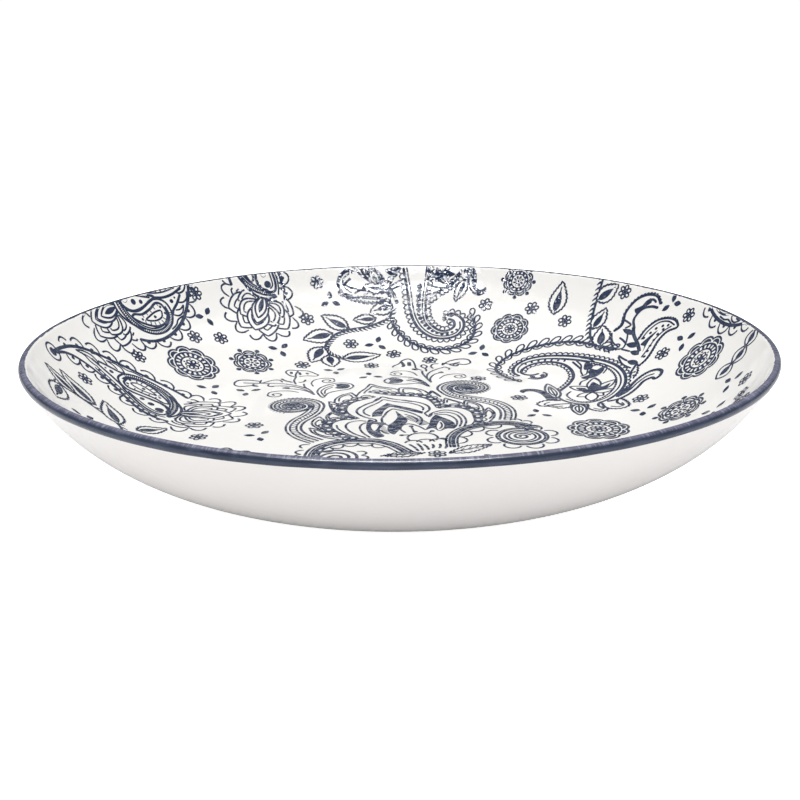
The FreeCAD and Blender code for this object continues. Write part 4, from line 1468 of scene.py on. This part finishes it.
def back_branch():
    branch([-4 + 140j, -5 + 134j, -10 + 130j, -18 + 126j, -27 + 123j, -33.6 + 118.4j, -36.8 + 112.6j,
            -38 + 106.4j, -36 + 102.4j, -32 + 99.6j, -27.6 + 98.6j], 30, 1,
           [(-3.6 + 141j, -15.6 + 136.6j, 8), (-12.6 + 132j, -24.4 + 130.4j, 6),
            (-27 + 124.2j, -41.4 + 130.4j, 8.4), (-35 + 119j, -49.4 + 111.4j, 9),
            (-39 + 107.6j, -44 + 92.6j, 9.4), (-35.6 + 101j, -33 + 88.6j, 8.4),
            (-28.6 + 98.4j, -9.8 + 103.6j, 9.4)])


drawn["family"] = "leaves"
back_branch()
branch([104.6 + 73.6j, 98.6 + 82j, 96 + 90j, 98.4 + 99j, 102.4 + 107j, 108 + 115j, 113 + 121j], 20, 1,
       [(99 + 81.4j, 103.6 + 94j, 9), (98.2 + 95.6j, 108.4 + 103j, 7.6), (105 + 111j, 119 + 111.4j, 9)])
leaf(81.4 + 116j, 91 + 131.6j, 9)
branch([-112 - 27j, -116.6 - 19.4j, -124 - 15.4j, -133 - 14j, -141 - 16j, -147 - 21j], 15, -1,
       [(-116 - 18.6j, -127 - 1.6j, 9), (-129 - 11j, -149 - 4.6j, 9), (-138 - 13.6j, -155 - 13.4j, 7),
        (-144.6 - 19j, -141.6 - 37j, 9.4), (-108.6 - 17.6j, -98 - 7.4j, 7)])
tally()


# %% Plumes beside the right-hand paisley
def plume(outer, inner, count):
    """A curled plume with a serrated back and a bold inner line."""
    blank(list(outer) + list(inner)[::-1])
    line(outer, 1.2)
    teeth(outer, count, 0.9, 0.7)
    line(inner, 1.08)


def right_plumes():
    line([104.8 + 74j, 109 + 72j, 114.6 + 84.4j, 112.4 + 86j], 0.6)
    plume([107.6 + 86.6j, 112.4 + 87.4j, 117 + 93.6j, 124.6 + 96j, 131 + 93.6j, 135 + 88.4j, 134.6 + 82.6j],
          [117.4 + 80j, 119.4 + 86.4j, 125 + 88.4j, 130 + 85.6j, 132.6 + 81.8j], 20)
    line([126 + 89.8j, 129.6 + 90.4j, 132.4 + 88.4j, 133 + 85.6j], 0.9)
    patch([121.4 + 88.4j, 121.6 + 91.6j, 124 + 91j, 126.4 + 90.4j, 131.4 + 90.6j, 131 + 88j, 127 + 88.4j])
    line([105.4 + 84j, 104.6 + 77j, 105.6 + 72.6j], 0.6)
    line([106.6 + 86.4j, 105.4 + 80j, 107.4 + 73.6j], 0.5)
    line([112.6 + 54j, 114.6 + 60j, 116 + 68j, 116.2 + 77j, 117.6 + 82j], 1.5)
    for base, tip, width in ((116.4 + 77j, 112.2 + 84.6j, 3.0), (116 + 67.6j, 111 + 73.6j, 3.6),
                             (115.2 + 61j, 111.4 + 66.8j, 3.2), (112.4 + 54.6j, 108.4 + 60.8j, 3.4)):
        blob(pointed(base, tip, width, 0.45))
    for start, bend_at, end in ((113.4 + 84.4j, 116.6 + 84j, 114 + 91.4j),
                                (111 + 73.6j, 110.4 + 77j, 109.2 + 80.4j),
                                (111.4 + 66.8j, 109.6 + 69.4j, 108 + 71.6j),
                                (108.4 + 60.8j, 106.8 + 64.6j, 105.6 + 68j)):
        line([start, bend_at, end], 0.7)
    line([105.2 + 67j, 105.8 + 60j, 108.6 + 53.6j], 0.6)
    line([107.2 + 49.4j, 112.4 + 55.6j], 1.0)
    crescent = [117 + 71.6j, 122 + 75j, 129 + 75.4j, 134.6 + 71.4j, 137.4 + 66j, 136.6 + 61.6j, 131 + 64j,
                125.6 + 62.6j,
                121 + 58.4j, 116.4 + 54.4j, 112.4 + 52.6j]
    blank(crescent + [114 + 60j, 116.6 + 66j])
    line(crescent, 1.0)
    teeth(crescent[:6], 17, 0.7, 0.5)
    teeth(crescent[5:], 17, 0.7, 0.5)
    line([118.4 + 70.6j, 123.6 + 73.2j, 129.6 + 73.2j, 134 + 69.4j, 135.8 + 64j], 0.5)
    line([115 + 58j, 119.4 + 61.4j, 124.6 + 65j, 130 + 66j, 134.4 + 65j], 0.5)
    patch([116.6 + 61.6j, 121.6 + 66.6j, 127.4 + 69.2j, 121.6 + 69j, 117.2 + 67.4j, 118.4 + 64.8j])
    discs((119.8 + 70.4j, 123.8 + 70.8j, 127.2 + 71j, 130.6 + 69.4j, 133 + 67.2j, 130 + 67.2j,
           126.6 + 66.8j,
           123.8 + 64.8j, 121 + 62.6j, 118.8 + 60j, 116.4 + 57.4j), 0.85)
    for points in ([107.6 + 43.6j, 110.6 + 47j, 112.6 + 54j], [106.6 + 46j, 108.6 + 50j]):
        teeth(points, 6, 0.6, 0.7)
    discs((109.4 + 49j, 108.4 + 46.4j), 0.7)


drawn["family"] = "plumes"
right_plumes()
tally()


# %% Plumes and leaves under the band at the back
plume([-26 + 159j, -30 + 159.6j, -33.6 + 156j, -34.6 + 150.6j, -31 + 146j, -24 + 144.6j, -15 + 145j,
       -7 + 144.4j],
      [-27.6 + 155.4j, -30.4 + 151.4j, -25 + 149.6j, -16 + 149.4j, -8 + 148.6j], 26)
line([-28.6 + 158j, -31.8 + 154j, -31 + 150j, -26.4 + 147.2j], 0.6)
teeth([-33.8 + 147j, -29 + 144.6j, -22 + 143j, -14 + 142.8j, -8 + 143.4j], 12, -1.5, 1.2)
leaf(-9 + 156.4j, -27 + 162.6j, 6.4)
for start, end in ((-25 + 147j, -9 + 156.4j), (-19.6 + 146.4j, -4.6 + 158j),
                   (-14.6 + 146.8j, -0.6 + 159.6j), (-10 + 147.6j, 1.6 + 156.4j),
                   (-6.6 + 148.8j, 1.4 + 152.8j)):
    line([start, 0.5 * (start + end) + 0.7j, end], 0.9)
blob([-8 + 161.6j, -4.4 + 158.6j, -0.6 + 160j, 1.6 + 163j, -3 + 163.4j])
patch([16.8 + 157j, 20.4 + 158.4j, 22 + 161.8j, 25 + 160j, 29 + 161.8j, 30 + 158.6j, 32.4 + 156.4j,
       28.6 + 155j,
       27.2 + 151.4j, 25 + 154.2j, 20.8 + 153.4j, 20.4 + 155.8j])
line([14.8 + 156.4j, 17.4 + 152.4j, 22 + 150.4j, 28 + 149.6j, 34.4 + 154.6j], 0.9)
teeth([15 + 146.4j, 22 + 147.6j, 29.6 + 151.4j, 37 + 157j], 13, 1.0, 0.9)
line([16 + 161j, 20 + 157.4j, 26 + 152.4j, 33 + 155.6j, 36.6 + 158.4j], 0.8)
hook = [37.6 + 158j, 43.6 + 157.6j, 44.4 + 152j, 43.4 + 147j, 45.6 + 144.6j, 48.6 + 145.4j, 47.6 + 142.2j,
        43 + 141.6j, 39.6 + 145.6j, 38.6 + 151j]
patch(hook, [smooth([40.6 + 153j, 41.2 + 153j, 40.8 + 147.6j, 43 + 143.8j, 41.6 + 144.4j, 40 + 148j],
                    True)])
leaf(38 + 152.4j, 30.6 + 141j, 5.6)
braid = smooth([16.4 + 142.4j, 22 + 146j, 29 + 149.6j, 36 + 154j])
scallops(braid, 9, 1.6, 0.6)
scallops(braid, 9, -1.6, 0.6)
line([-4.6 + 142j, -6 + 149j, -4 + 156j, 0 + 162j], 0.9)
line([-1 + 142j, -2.6 + 147j, -5 + 151.6j], 1.6)
branch([-4 + 146j, -10 + 151j, -17 + 155j, -22 + 160.6j], 9, -1,
       [(-9 + 150.6j, -20 + 151.6j, 5.6), (-12 + 153.4j, -17 + 162j, 5)])

# A chain of pods with dark seeds runs up to the band on the right.
for middle, way in ((142.8 + 1.6j, 8.8 + 0.6j), (151.8 + 2.4j, 8.8 + 1.4j), (160.4 + 4j, 8 + 2.4j)):
    line(almond(middle - 0.56 * way, middle + 0.56 * way, 9.6), 0.6, closed=True)
    blob(almond(middle - 0.34 * way, middle + 0.4 * way, 4.2))
line([145 + 1.8j, 152 + 2.4j, 160 + 4j, 165 + 5.4j], 1.3)

# A cluster of bubbles at the far edge.
with moved(67 + 143j):
    wheel(0, 9.6, 8, 20)
tally()


# %% [markdown]
# ## Fine plumes over the lotus
#
# Two sprays of very thin lines stand between the lotus and the garlands: long fronds, tulips,
# curled tendrils and a hatched bud each. They are lighter than the rest, so the stroke is thinner.

# %% Fine sprays
def tendril(centre, radius, tail, curl=1, start=180):
    """A small coil with a long tail."""
    spiral(centre, radius, 0.9, 1.2, start, 0.45, curl)
    line(tail, 0.45)


def bud(outline, hatch_centre, lines):
    """A closed bud with inner lines and a short lens of hatching."""
    line(outline, 0.6, closed=True)
    for points in lines:
        line(points, 0.45)
    for tick in range(-3, 4):
        height = 4.2 * math.sqrt(1 - (tick / 4.6) ** 2)
        foot = hatch_centre + 0.85 * tick
        line([foot - 1j * height - 0.5, foot + 0.6, foot + 1j * height - 0.5], 0.7)


drawn["family"] = "fine_sprays"
for points, width in (([-39.2 + 42.6j, -43 + 52j, -50 + 58.4j, -58 + 61.4j, -70 + 61.4j, -74 + 61j], 0.5),
                      ([-39.2 + 42.6j, -41.6 + 50j, -44.4 + 55j, -45.4 + 60.4j], 0.55),
                      ([-39.2 + 42.6j, -44.6 + 51.6j, -50 + 56j, -58 + 57.2j, -61.6 + 56.4j], 0.5),
                      ([-39.2 + 42.6j, -43.4 + 48.6j, -48 + 51.6j, -53.6 + 53j], 0.5),
                      ([-66 + 64.6j, -72 + 65j, -76.4 + 63.4j, -78 + 60j, -77.4 + 57j, -75 + 56j,
                        -71 + 57.4j, -67 + 59j], 0.55), ([-66 + 66.4j, -66 + 62j, -61 + 66.4j], 0.5),
                      ([-69 + 60.4j, -69 + 57.6j, -66.4 + 56.4j], 0.6),
                      ([-62 + 60.4j, -61.6 + 57j, -59 + 56.2j], 0.6),
                      ([-61.4 + 66.6j, -57.6 + 67j, -55.6 + 63.4j], 0.5),
                      ([-49 + 59.6j, -50.4 + 66j, -50 + 72j, -50.4 + 76j, -49.6 + 81.4j], 0.6),
                      ([-56.6 + 69.4j, -55 + 66.4j, -51 + 63j], 0.9),
                      ([-45 + 67.4j, -45.6 + 64j, -48 + 62.6j], 0.7),
                      ([-50 + 71.6j, -53.6 + 75j, -55.4 + 79j, -54 + 81.4j, -49.6 + 81.6j, -44.6 + 81.4j,
                        -41 + 77.6j, -39.4 + 75j, -40.4 + 73.4j, -44.6 + 74j, -48.6 + 73j], 0.5),
                      ([-53 + 79.6j, -52.4 + 76.6j], 1.1), ([-49 + 79.4j, -48 + 75.6j], 0.9),
                      ([-45.4 + 79j, -44.4 + 76.6j], 0.9),
                      ([14.8 + 61j, 12.4 + 70j, 11 + 77j, 11 + 81.4j], 0.7),
                      ([14.8 + 61j, 13 + 70j, 14.4 + 78j, 18 + 83.6j, 22 + 87.6j], 0.55),
                      ([14.8 + 61j, 14.6 + 68j, 17 + 75j, 19.6 + 77.6j], 0.55),
                      ([13 + 80j, 12.6 + 85j, 10.6 + 88.6j, 11.4 + 91.4j, 13.4 + 89.4j, 12.6 + 85j], 0.6),
                      ([16.4 + 85j, 15.4 + 89j, 16.6 + 92j, 19.4 + 92.4j], 0.55),
                      ([21 + 90j, 24 + 94.6j, 29.6 + 96.8j, 34 + 95.6j, 35 + 91.6j, 32 + 90j, 28 + 91.4j,
                        26 + 90j], 0.55), ([21 + 90j, 21.6 + 93j, 24.6 + 91.4j, 30 + 93.4j], 0.5),
                      ([24.6 + 90.6j, 28 + 88.6j, 29 + 90.4j], 0.9),
                      ([22 + 87.6j, 24.4 + 84.6j, 24 + 82.6j], 0.6),
                      ([10.6 + 82j, 8 + 86j, 7.6 + 91j, 6.4 + 97j, 4.2 + 99.2j, 1.4 + 97.4j, -0.6 + 93j,
                        -3 + 90j, -3.6 + 87.6j], 0.55), ([8 + 83.6j, 6.4 + 84.4j, 8.6 + 82.4j], 1.4)):
    line(points, width)
blob([-55 + 53.4j, -53.4 + 55.4j, -51.4 + 54.4j, -52 + 52.8j])
blob([18.6 + 78j, 20.4 + 79.6j, 21.4 + 77.6j, 19.8 + 76.6j])
line([0.6 + 96j, 2 + 91j, 1.4 + 88.4j], 1.3)
line([4.6 + 95.4j, 4.8 + 90j], 1.6)
tendril(-57 + 43j, 3.8, [-60.8 + 43j, -60 + 47j, -56 + 49j, -50.6 + 48.8j, -46.6 + 46.4j], 1, 180)
tendril(-34.4 + 65j, 3.5, [-31 + 65.4j, -32 + 68.6j, -36.4 + 69.6j, -40.6 + 66.6j, -41.8 + 61.4j,
                           -40.6 + 56j], -1, 0)
tendril(-1.4 + 76j, 3.3, [-4.6 + 77.4j, -2.4 + 80.4j, 2.6 + 81.2j, 6.4 + 78j, 8.4 + 72.6j], 1, 180)
tendril(28.6 + 70.8j, 3.2, [31.8 + 71.6j, 30.4 + 74.4j, 26.4 + 75.2j, 22 + 73j, 18.8 + 67.4j], -1, 0)
bud([-35 + 38.4j, -38 + 46j, -37.4 + 53j, -33.6 + 58.6j, -28 + 61.6j, -23.4 + 60j, -21.8 + 55.6j,
     -23.6 + 51.4j,
     -28.6 + 48.8j, -33 + 45j], -27 + 56j,
    ([-34.8 + 41j, -36.4 + 47.6j, -35 + 53j, -31 + 57.6j], [-34.6 + 44j, -34.4 + 50j, -31.4 + 54.6j]))
bud([13.6 + 54.4j, 11.4 + 62j, 8 + 67.6j, 2.6 + 70.6j, -3 + 69.8j, -7 + 66j, -6.8 + 61.6j, -2.6 + 58.8j,
     3 + 58.8j,
     9.4 + 59.4j], -2 + 64.4j,
    ([12 + 58j, 8.6 + 64j, 4 + 67.4j], [10.6 + 59.6j, 5.6 + 63.8j, 3 + 65.4j]))
line([13.2 + 55.6j, 10 + 63.4j, 6.4 + 67j], 1.3)
tally()


# %% [markdown]
# ## The near side
#
# The near side of the print repeats the far side, turned and mirrored, so no motif is drawn twice.
# The copies keep clear of the vine on the left and of the rosette and wheel on the right.

# %% Big motifs again on the near side
drawn["family"] = "near_hooks"
with moved(0, -172, mirror=True):
    back_hook()
    back_branch()
with moved(0, -80):
    hooked_group()
drawn["family"] = "near_plumes"
with moved(0, -80):
    right_plumes()
drawn["family"] = "near_paisleys"
with moved(0, 75):
    paisley()
with moved(0, 205, mirror=True):
    paisley()
tally()


# %% Small motifs again on the near side
drawn["family"] = "near_small"
for centre in (14.6 - 38.6j, 24 - 52j, -6 - 54j, 16 - 90j, 66 - 40j, 140 - 38j, 117 - 70j, -99 - 30j,
               -112 - 101j,
               -84 - 99j, -32 - 140j, 8 - 150j, 52 - 142j):
    flower(centre)
for middle, turn in ((38 - 44j, 20), (2 - 114j, 90), (-103 - 101j, 50), (-128 - 34j, 70), (139 - 68j, 100),
                     (-82 - 132j, 80), (128 - 30j, 10), (-3 - 91j, 60), (-34 - 127j, 0)):
    trefoil(*(middle + 4.0 * np.exp(1j * np.radians(turn + 120 * np.arange(3)))))
for centre, radius in ((4 - 71j, 12.6), (-14 - 150j, 9.8), (75 - 128j, 11.4), (131 - 50j, 10.4)):
    rosette(centre, radius)
for centre, radius in ((-118 - 51j, 9.8), (-94 - 114j, 10.6), (125 - 86j, 9.6)):
    wheel(centre, radius, 7)
tally()


# %% [markdown]
# ## Laying the ink on the bowl
#
# Each family of marks becomes one piece of ink. A stroke is a ribbon with a flat top
# and a keel that sinks into the glaze, so it is closed and casts no false shadow.
# Small shapes are fans about their middle. Shapes with holes, or cut by a blank or by the band,
# are triangulated inside their outlines. The tops take their shading from the glaze under them,
# which keeps the reflections on ink and glaze in one smooth sheet.

# %% What is cut away
BAND_LAP = 0.25          # how far the ink runs on under the band, in millimetres


def box(points):
    """The lower left and upper right corners of the rectangle round some points."""
    return complex(points.real.min(), points.imag.min()), complex(points.real.max(), points.imag.max())


def within(points, outline):
    """True for the points inside a closed outline."""
    result = np.zeros(len(points), bool)
    low, high = box(outline)
    near = (points.real > low.real) & (points.real < high.real)
    near &= (points.imag > low.imag) & (points.imag < high.imag)
    if not near.any():
        return result
    some = points[near]
    start, end = outline, np.roll(outline, -1)
    above = (start.imag > some.imag[:, None]) != (end.imag > some.imag[:, None])
    rise = np.where(np.abs(end.imag - start.imag) < 1e-12, 1e-12, end.imag - start.imag)
    crossing = start.real + (some.imag[:, None] - start.imag) * (end.real - start.real) / rise
    result[near] = (above & (some.real[:, None] < crossing)).sum(axis=1) % 2 == 1
    return result


def later_blanks(points, number):
    """The blanks made after a mark that may reach it."""
    low, high = box(points)
    found = []
    for outline, before in blanks:
        if before < number:
            continue
        first, last = box(outline)
        aside = first.real > high.real or last.real < low.real
        beyond = first.imag > high.imag or last.imag < low.imag
        if not (aside or beyond):
            found.append(outline)
    return found


def cut_away(points, covers):
    """True for the points under a cover or beyond the band's edge."""
    gone = np.abs(points) > PLAN_EDGE + BAND_LAP
    for outline in covers:
        gone |= within(points, outline)
    return gone


# %% Closed shapes from marks, still on the plan
class Sheet:
    """Plan points with their heights over the glaze, and the faces between them."""

    def __init__(self):
        self.points, self.heights, self.faces, self.count = [], [], [], 0

    def add(self, points, heights, faces):
        self.points.append(points)
        self.heights.append(np.broadcast_to(heights, points.shape))
        self.faces.append(np.asarray(faces) + self.count)
        self.count += len(points)


def add_ribbon(sheet, path, half, top):
    """A closed ribbon: a flat top and a keel below the glaze."""
    heading = np.gradient(path)
    heading = heading / np.maximum(np.abs(heading), 1e-9)
    count = len(path)
    points = np.concatenate([path + 1j * heading * half, path - 1j * heading * half, path])
    heights = np.concatenate([np.full(2 * count, top), np.full(count, INK_ROOT)])
    here = np.arange(count - 1)
    left, right, keel = here, here + count, here + 2 * count
    faces = [np.column_stack(corners) for corners in (
        (right, right + 1, left + 1), (right, left + 1, left),
        (left, left + 1, keel + 1), (left, keel + 1, keel),
        (keel, keel + 1, right + 1), (keel, right + 1, right))]
    last = count - 1
    caps = [[0, 2 * count, count], [last, last + count, last + 2 * count]]
    sheet.add(points, heights, np.concatenate(faces + [np.array(caps)]))


def add_line(sheet, path, half, top, covers):
    """A stroke, in as many runs as the blanks leave."""
    gone = cut_away(path, covers)
    if not gone.any():
        add_ribbon(sheet, path, half, top)
        return
    start = None
    for place in range(len(path) + 1):
        kept = place < len(path) and not gone[place]
        if kept and start is None:
            start = place
        if not kept and start is not None:
            if place - start > 1:
                add_ribbon(sheet, path[start:place], half[start:place], top)
            start = None


def add_fan(sheet, outline, top):
    """A small solid shape about its middle."""
    if area(outline) < 0:
        outline = outline[::-1]
    count = len(outline)
    middle = outline.mean()
    points = np.concatenate([outline, [middle, middle]])
    heights = np.concatenate([np.full(count + 1, top), [INK_ROOT]])
    here = np.arange(count)
    there = np.roll(here, -1)
    upper = np.column_stack([np.full(count, count), here, there])
    lower = np.column_stack([np.full(count, count + 1), there, here])
    sheet.add(points, heights, np.concatenate([upper, lower]))


def area(outline):
    """The signed area of an outline: above nought if it runs anticlockwise."""
    ahead = np.roll(outline, -1)
    return 0.5 * float((outline.real * ahead.imag - ahead.real * outline.imag).sum())


def add_patch(sheet, outline, holes, top, covers):
    """A solid shape with holes, less what lies under the blanks and beyond the band."""
    loops = [outline] + list(holes) + list(covers)
    if np.abs(outline).max() > PLAN_EDGE:
        edge = ring_path(0, PLAN_EDGE + BAND_LAP, 720)
        loops.append(edge)
    points = np.concatenate(loops)
    edges, first = [], 0
    for loop in loops:
        edges += [(first + step, first + (step + 1) % len(loop)) for step in range(len(loop))]
        first += len(loop)
    flat = [Vector((place.real, place.imag)) for place in points]
    places, _, triangles, _, _, _ = delaunay_2d_cdt(flat, edges, [], 0, 1e-5)
    places = np.array([complex(place[0], place[1]) for place in places])
    triangles = np.array([tuple(triangle) for triangle in triangles])
    middles = places[triangles].mean(axis=1)
    kept = within(middles, outline) & ~cut_away(middles, list(holes) + list(covers))
    triangles = triangles[kept]
    if not len(triangles):
        return
    corners = places[triangles]
    turn = ((corners[:, 1] - corners[:, 0]).real * (corners[:, 2] - corners[:, 0]).imag
            - (corners[:, 1] - corners[:, 0]).imag * (corners[:, 2] - corners[:, 0]).real)
    triangles[turn < 0] = triangles[turn < 0][:, ::-1]
    used, triangles = np.unique(triangles, return_inverse=True)
    triangles = triangles.reshape(-1, 3)
    places = places[used]
    count = len(places)
    sides = np.concatenate([triangles[:, [0, 1]], triangles[:, [1, 2]], triangles[:, [2, 0]]])
    known = {tuple(side) for side in sides.tolist()}
    rim = np.array([side for side in known if (side[1], side[0]) not in known])
    skirt = [np.column_stack([rim[:, 1], rim[:, 0], rim[:, 0] + count]),
             np.column_stack([rim[:, 1], rim[:, 0] + count, rim[:, 1] + count])]
    heights = np.concatenate([np.full(count, top), np.full(count, INK_ROOT)])
    sheet.add(np.concatenate([places, places]), heights,
              np.concatenate([triangles, triangles[:, ::-1] + count] + skirt))


# %% From the plan to pieces of ink
def lay_ink(family):
    """One piece of ink for a family of marks."""
    sheet = Sheet()
    for kind, points, extra, number in ink[family]:
        top = INK_TOP + LIFT * (number % LIFTS)
        covers = later_blanks(points, number)
        if kind == "line":
            add_line(sheet, points, extra, top, covers)
            continue
        inside = np.abs(points).max() < PLAN_EDGE and not cut_away(points, covers).any()
        if kind == "blob" and inside:
            add_fan(sheet, points, top)
        else:
            add_patch(sheet, points, extra or [], top, covers)
    points = np.concatenate(sheet.points)
    heights = np.concatenate(sheet.heights)
    faces = np.concatenate(sheet.faces)
    places, normals = on_the_bowl(points, heights)
    piece = make_mesh("ink_" + family, places, faces.tolist(), normals)
    dress(piece, ink_blue)
    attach(piece, "root")
    print(f"{piece.name}: {len(faces)} triangles from {len(ink[family])} marks")
    return piece


inks = [lay_ink(family) for family in ink]
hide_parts("inner_print")

# %% [markdown]
# ## Floor, light and camera
#
# The bowl is shown as a studio shows china: a plain pale floor, a wide soft light overhead
# and a window-shaped softbox in front, whose reflection glints on the far wall and along the lip.
# Two thin strips beside it make the bright frame of that window in the reflection.
# The surroundings look white to the camera, but a white room mirrored in the gloss
# would wash out the blue at low angles, so the room is darker for reflections.
# The floor glows a little to the eye alone, as a light table does, so it meets the background
# without a horizon and yet throws no light up under the bowl.

# %% Pale floor
def floor_material():
    material, tree, shader = new_material("pale_floor", Roughness=0.9)
    mottle = place_group(tree, MOTTLE, Tone=(0.93, 0.93, 0.93, 1), Second_tone=(0.90, 0.90, 0.905, 1),
                         Patches_per_metre=4.0, Grain_per_metre=400.0)
    tree.links.new(mottle.outputs["Colour"], shader.inputs["Base Color"])
    seen = tree.nodes.new("ShaderNodeLightPath").outputs["Is Camera Ray"]
    shader.inputs["Emission Color"].default_value = (1, 1, 1, 1)
    tree.links.new(math_node(tree, "MULTIPLY", seen, FLOOR_GLOW), shader.inputs["Emission Strength"])
    return material


FLOOR_GLOW = 0.85        # how bright the light table looks
FLOOR_HALF = 2500.0      # half the floor's width, in millimetres
corners = np.array([[-1, -1, 0], [1, -1, 0], [1, 1, 0], [-1, 1, 0]]) * FLOOR_HALF
floor = make_mesh("floor", corners, [(0, 1, 2, 3)])
dress(floor, floor_material())

# %% Room
room = bpy.data.worlds.new("studio")
bpy.context.scene.world = room
room.use_nodes = True
tree = room.node_tree
tree.nodes.clear()
SEEN_BY_CAMERA, SEEN_BY_GLOSS, SOFT_LIGHT = 1.05, 0.22, 0.92
path = tree.nodes.new("ShaderNodeLightPath").outputs
gloss = math_node(tree, "MULTIPLY", path["Is Glossy Ray"], SEEN_BY_GLOSS - SOFT_LIGHT)
shown = math_node(tree, "MULTIPLY", path["Is Camera Ray"], SEEN_BY_CAMERA - SOFT_LIGHT)
strength = math_node(tree, "ADD", math_node(tree, "ADD", gloss, shown), SOFT_LIGHT)
glow = add(tree, "Background", {"Color": (1.0, 1.0, 1.0, 1.0)}, Strength=strength)
out = tree.nodes.new("ShaderNodeOutputWorld")
tree.links.new(glow.outputs[0], out.inputs["Surface"])

# %% Softboxes
def softbox(name, place, aim, width, depth, power, glint_only=False):
    """A rectangular light at a place in metres, facing a point. glint_only keeps just its reflection."""
    light = bpy.data.lights.new(name, "AREA")
    light.shape = "RECTANGLE"
    light.size, light.size_y = width, depth
    light.energy = power
    holder = bpy.data.objects.new(name, light)
    holder.location = place
    holder.rotation_euler = (Vector(aim) - Vector(place)).to_track_quat("-Z", "Y").to_euler()
    holder.visible_diffuse = not glint_only
    bpy.context.scene.collection.objects.link(holder)
    return holder


bowl_middle = (0.0, 0.0, 0.5 * BOWL_HEIGHT * MM)
softbox("overhead", (0.0, 0.15, 1.3), bowl_middle, 1.6, 1.2, 8.0)
softbox("front_window", (-0.02, -0.36, 1.05), (0.0, 0.15, 0.04), 0.70, 0.11, 15.0, glint_only=True)
for label, back in (("low_strip", -0.05), ("high_strip", -0.70)):
    softbox(label, (-0.05, back, 1.05), (0.0, 0.15, 0.04), 0.95, 0.012, 1.6, glint_only=True)
print("lights:", ", ".join(sorted(light.name for light in bpy.data.lights)))

# %% Camera
EYE = (0.0, -497.1, 176.3)         # millimetres from the centre of the rest face
PITCH, ROLL = 17.289, -0.482       # degrees down, and about the line of sight
LENS = 55.39                       # millimetres on a sensor 36 mm wide

camera = bpy.data.objects.new("camera", bpy.data.cameras.new("camera"))
camera.data.lens = LENS
camera.data.sensor_width = 36.0
tilt = Matrix.Rotation(math.radians(90 - PITCH), 4, "X") @ Matrix.Rotation(math.radians(ROLL), 4, "Z")
camera.matrix_world = Matrix.Translation(Vector(EYE) * MM) @ tilt
bpy.context.scene.collection.objects.link(camera)
bpy.context.scene.camera = camera
bpy.context.scene.view_settings.view_transform = "Standard"
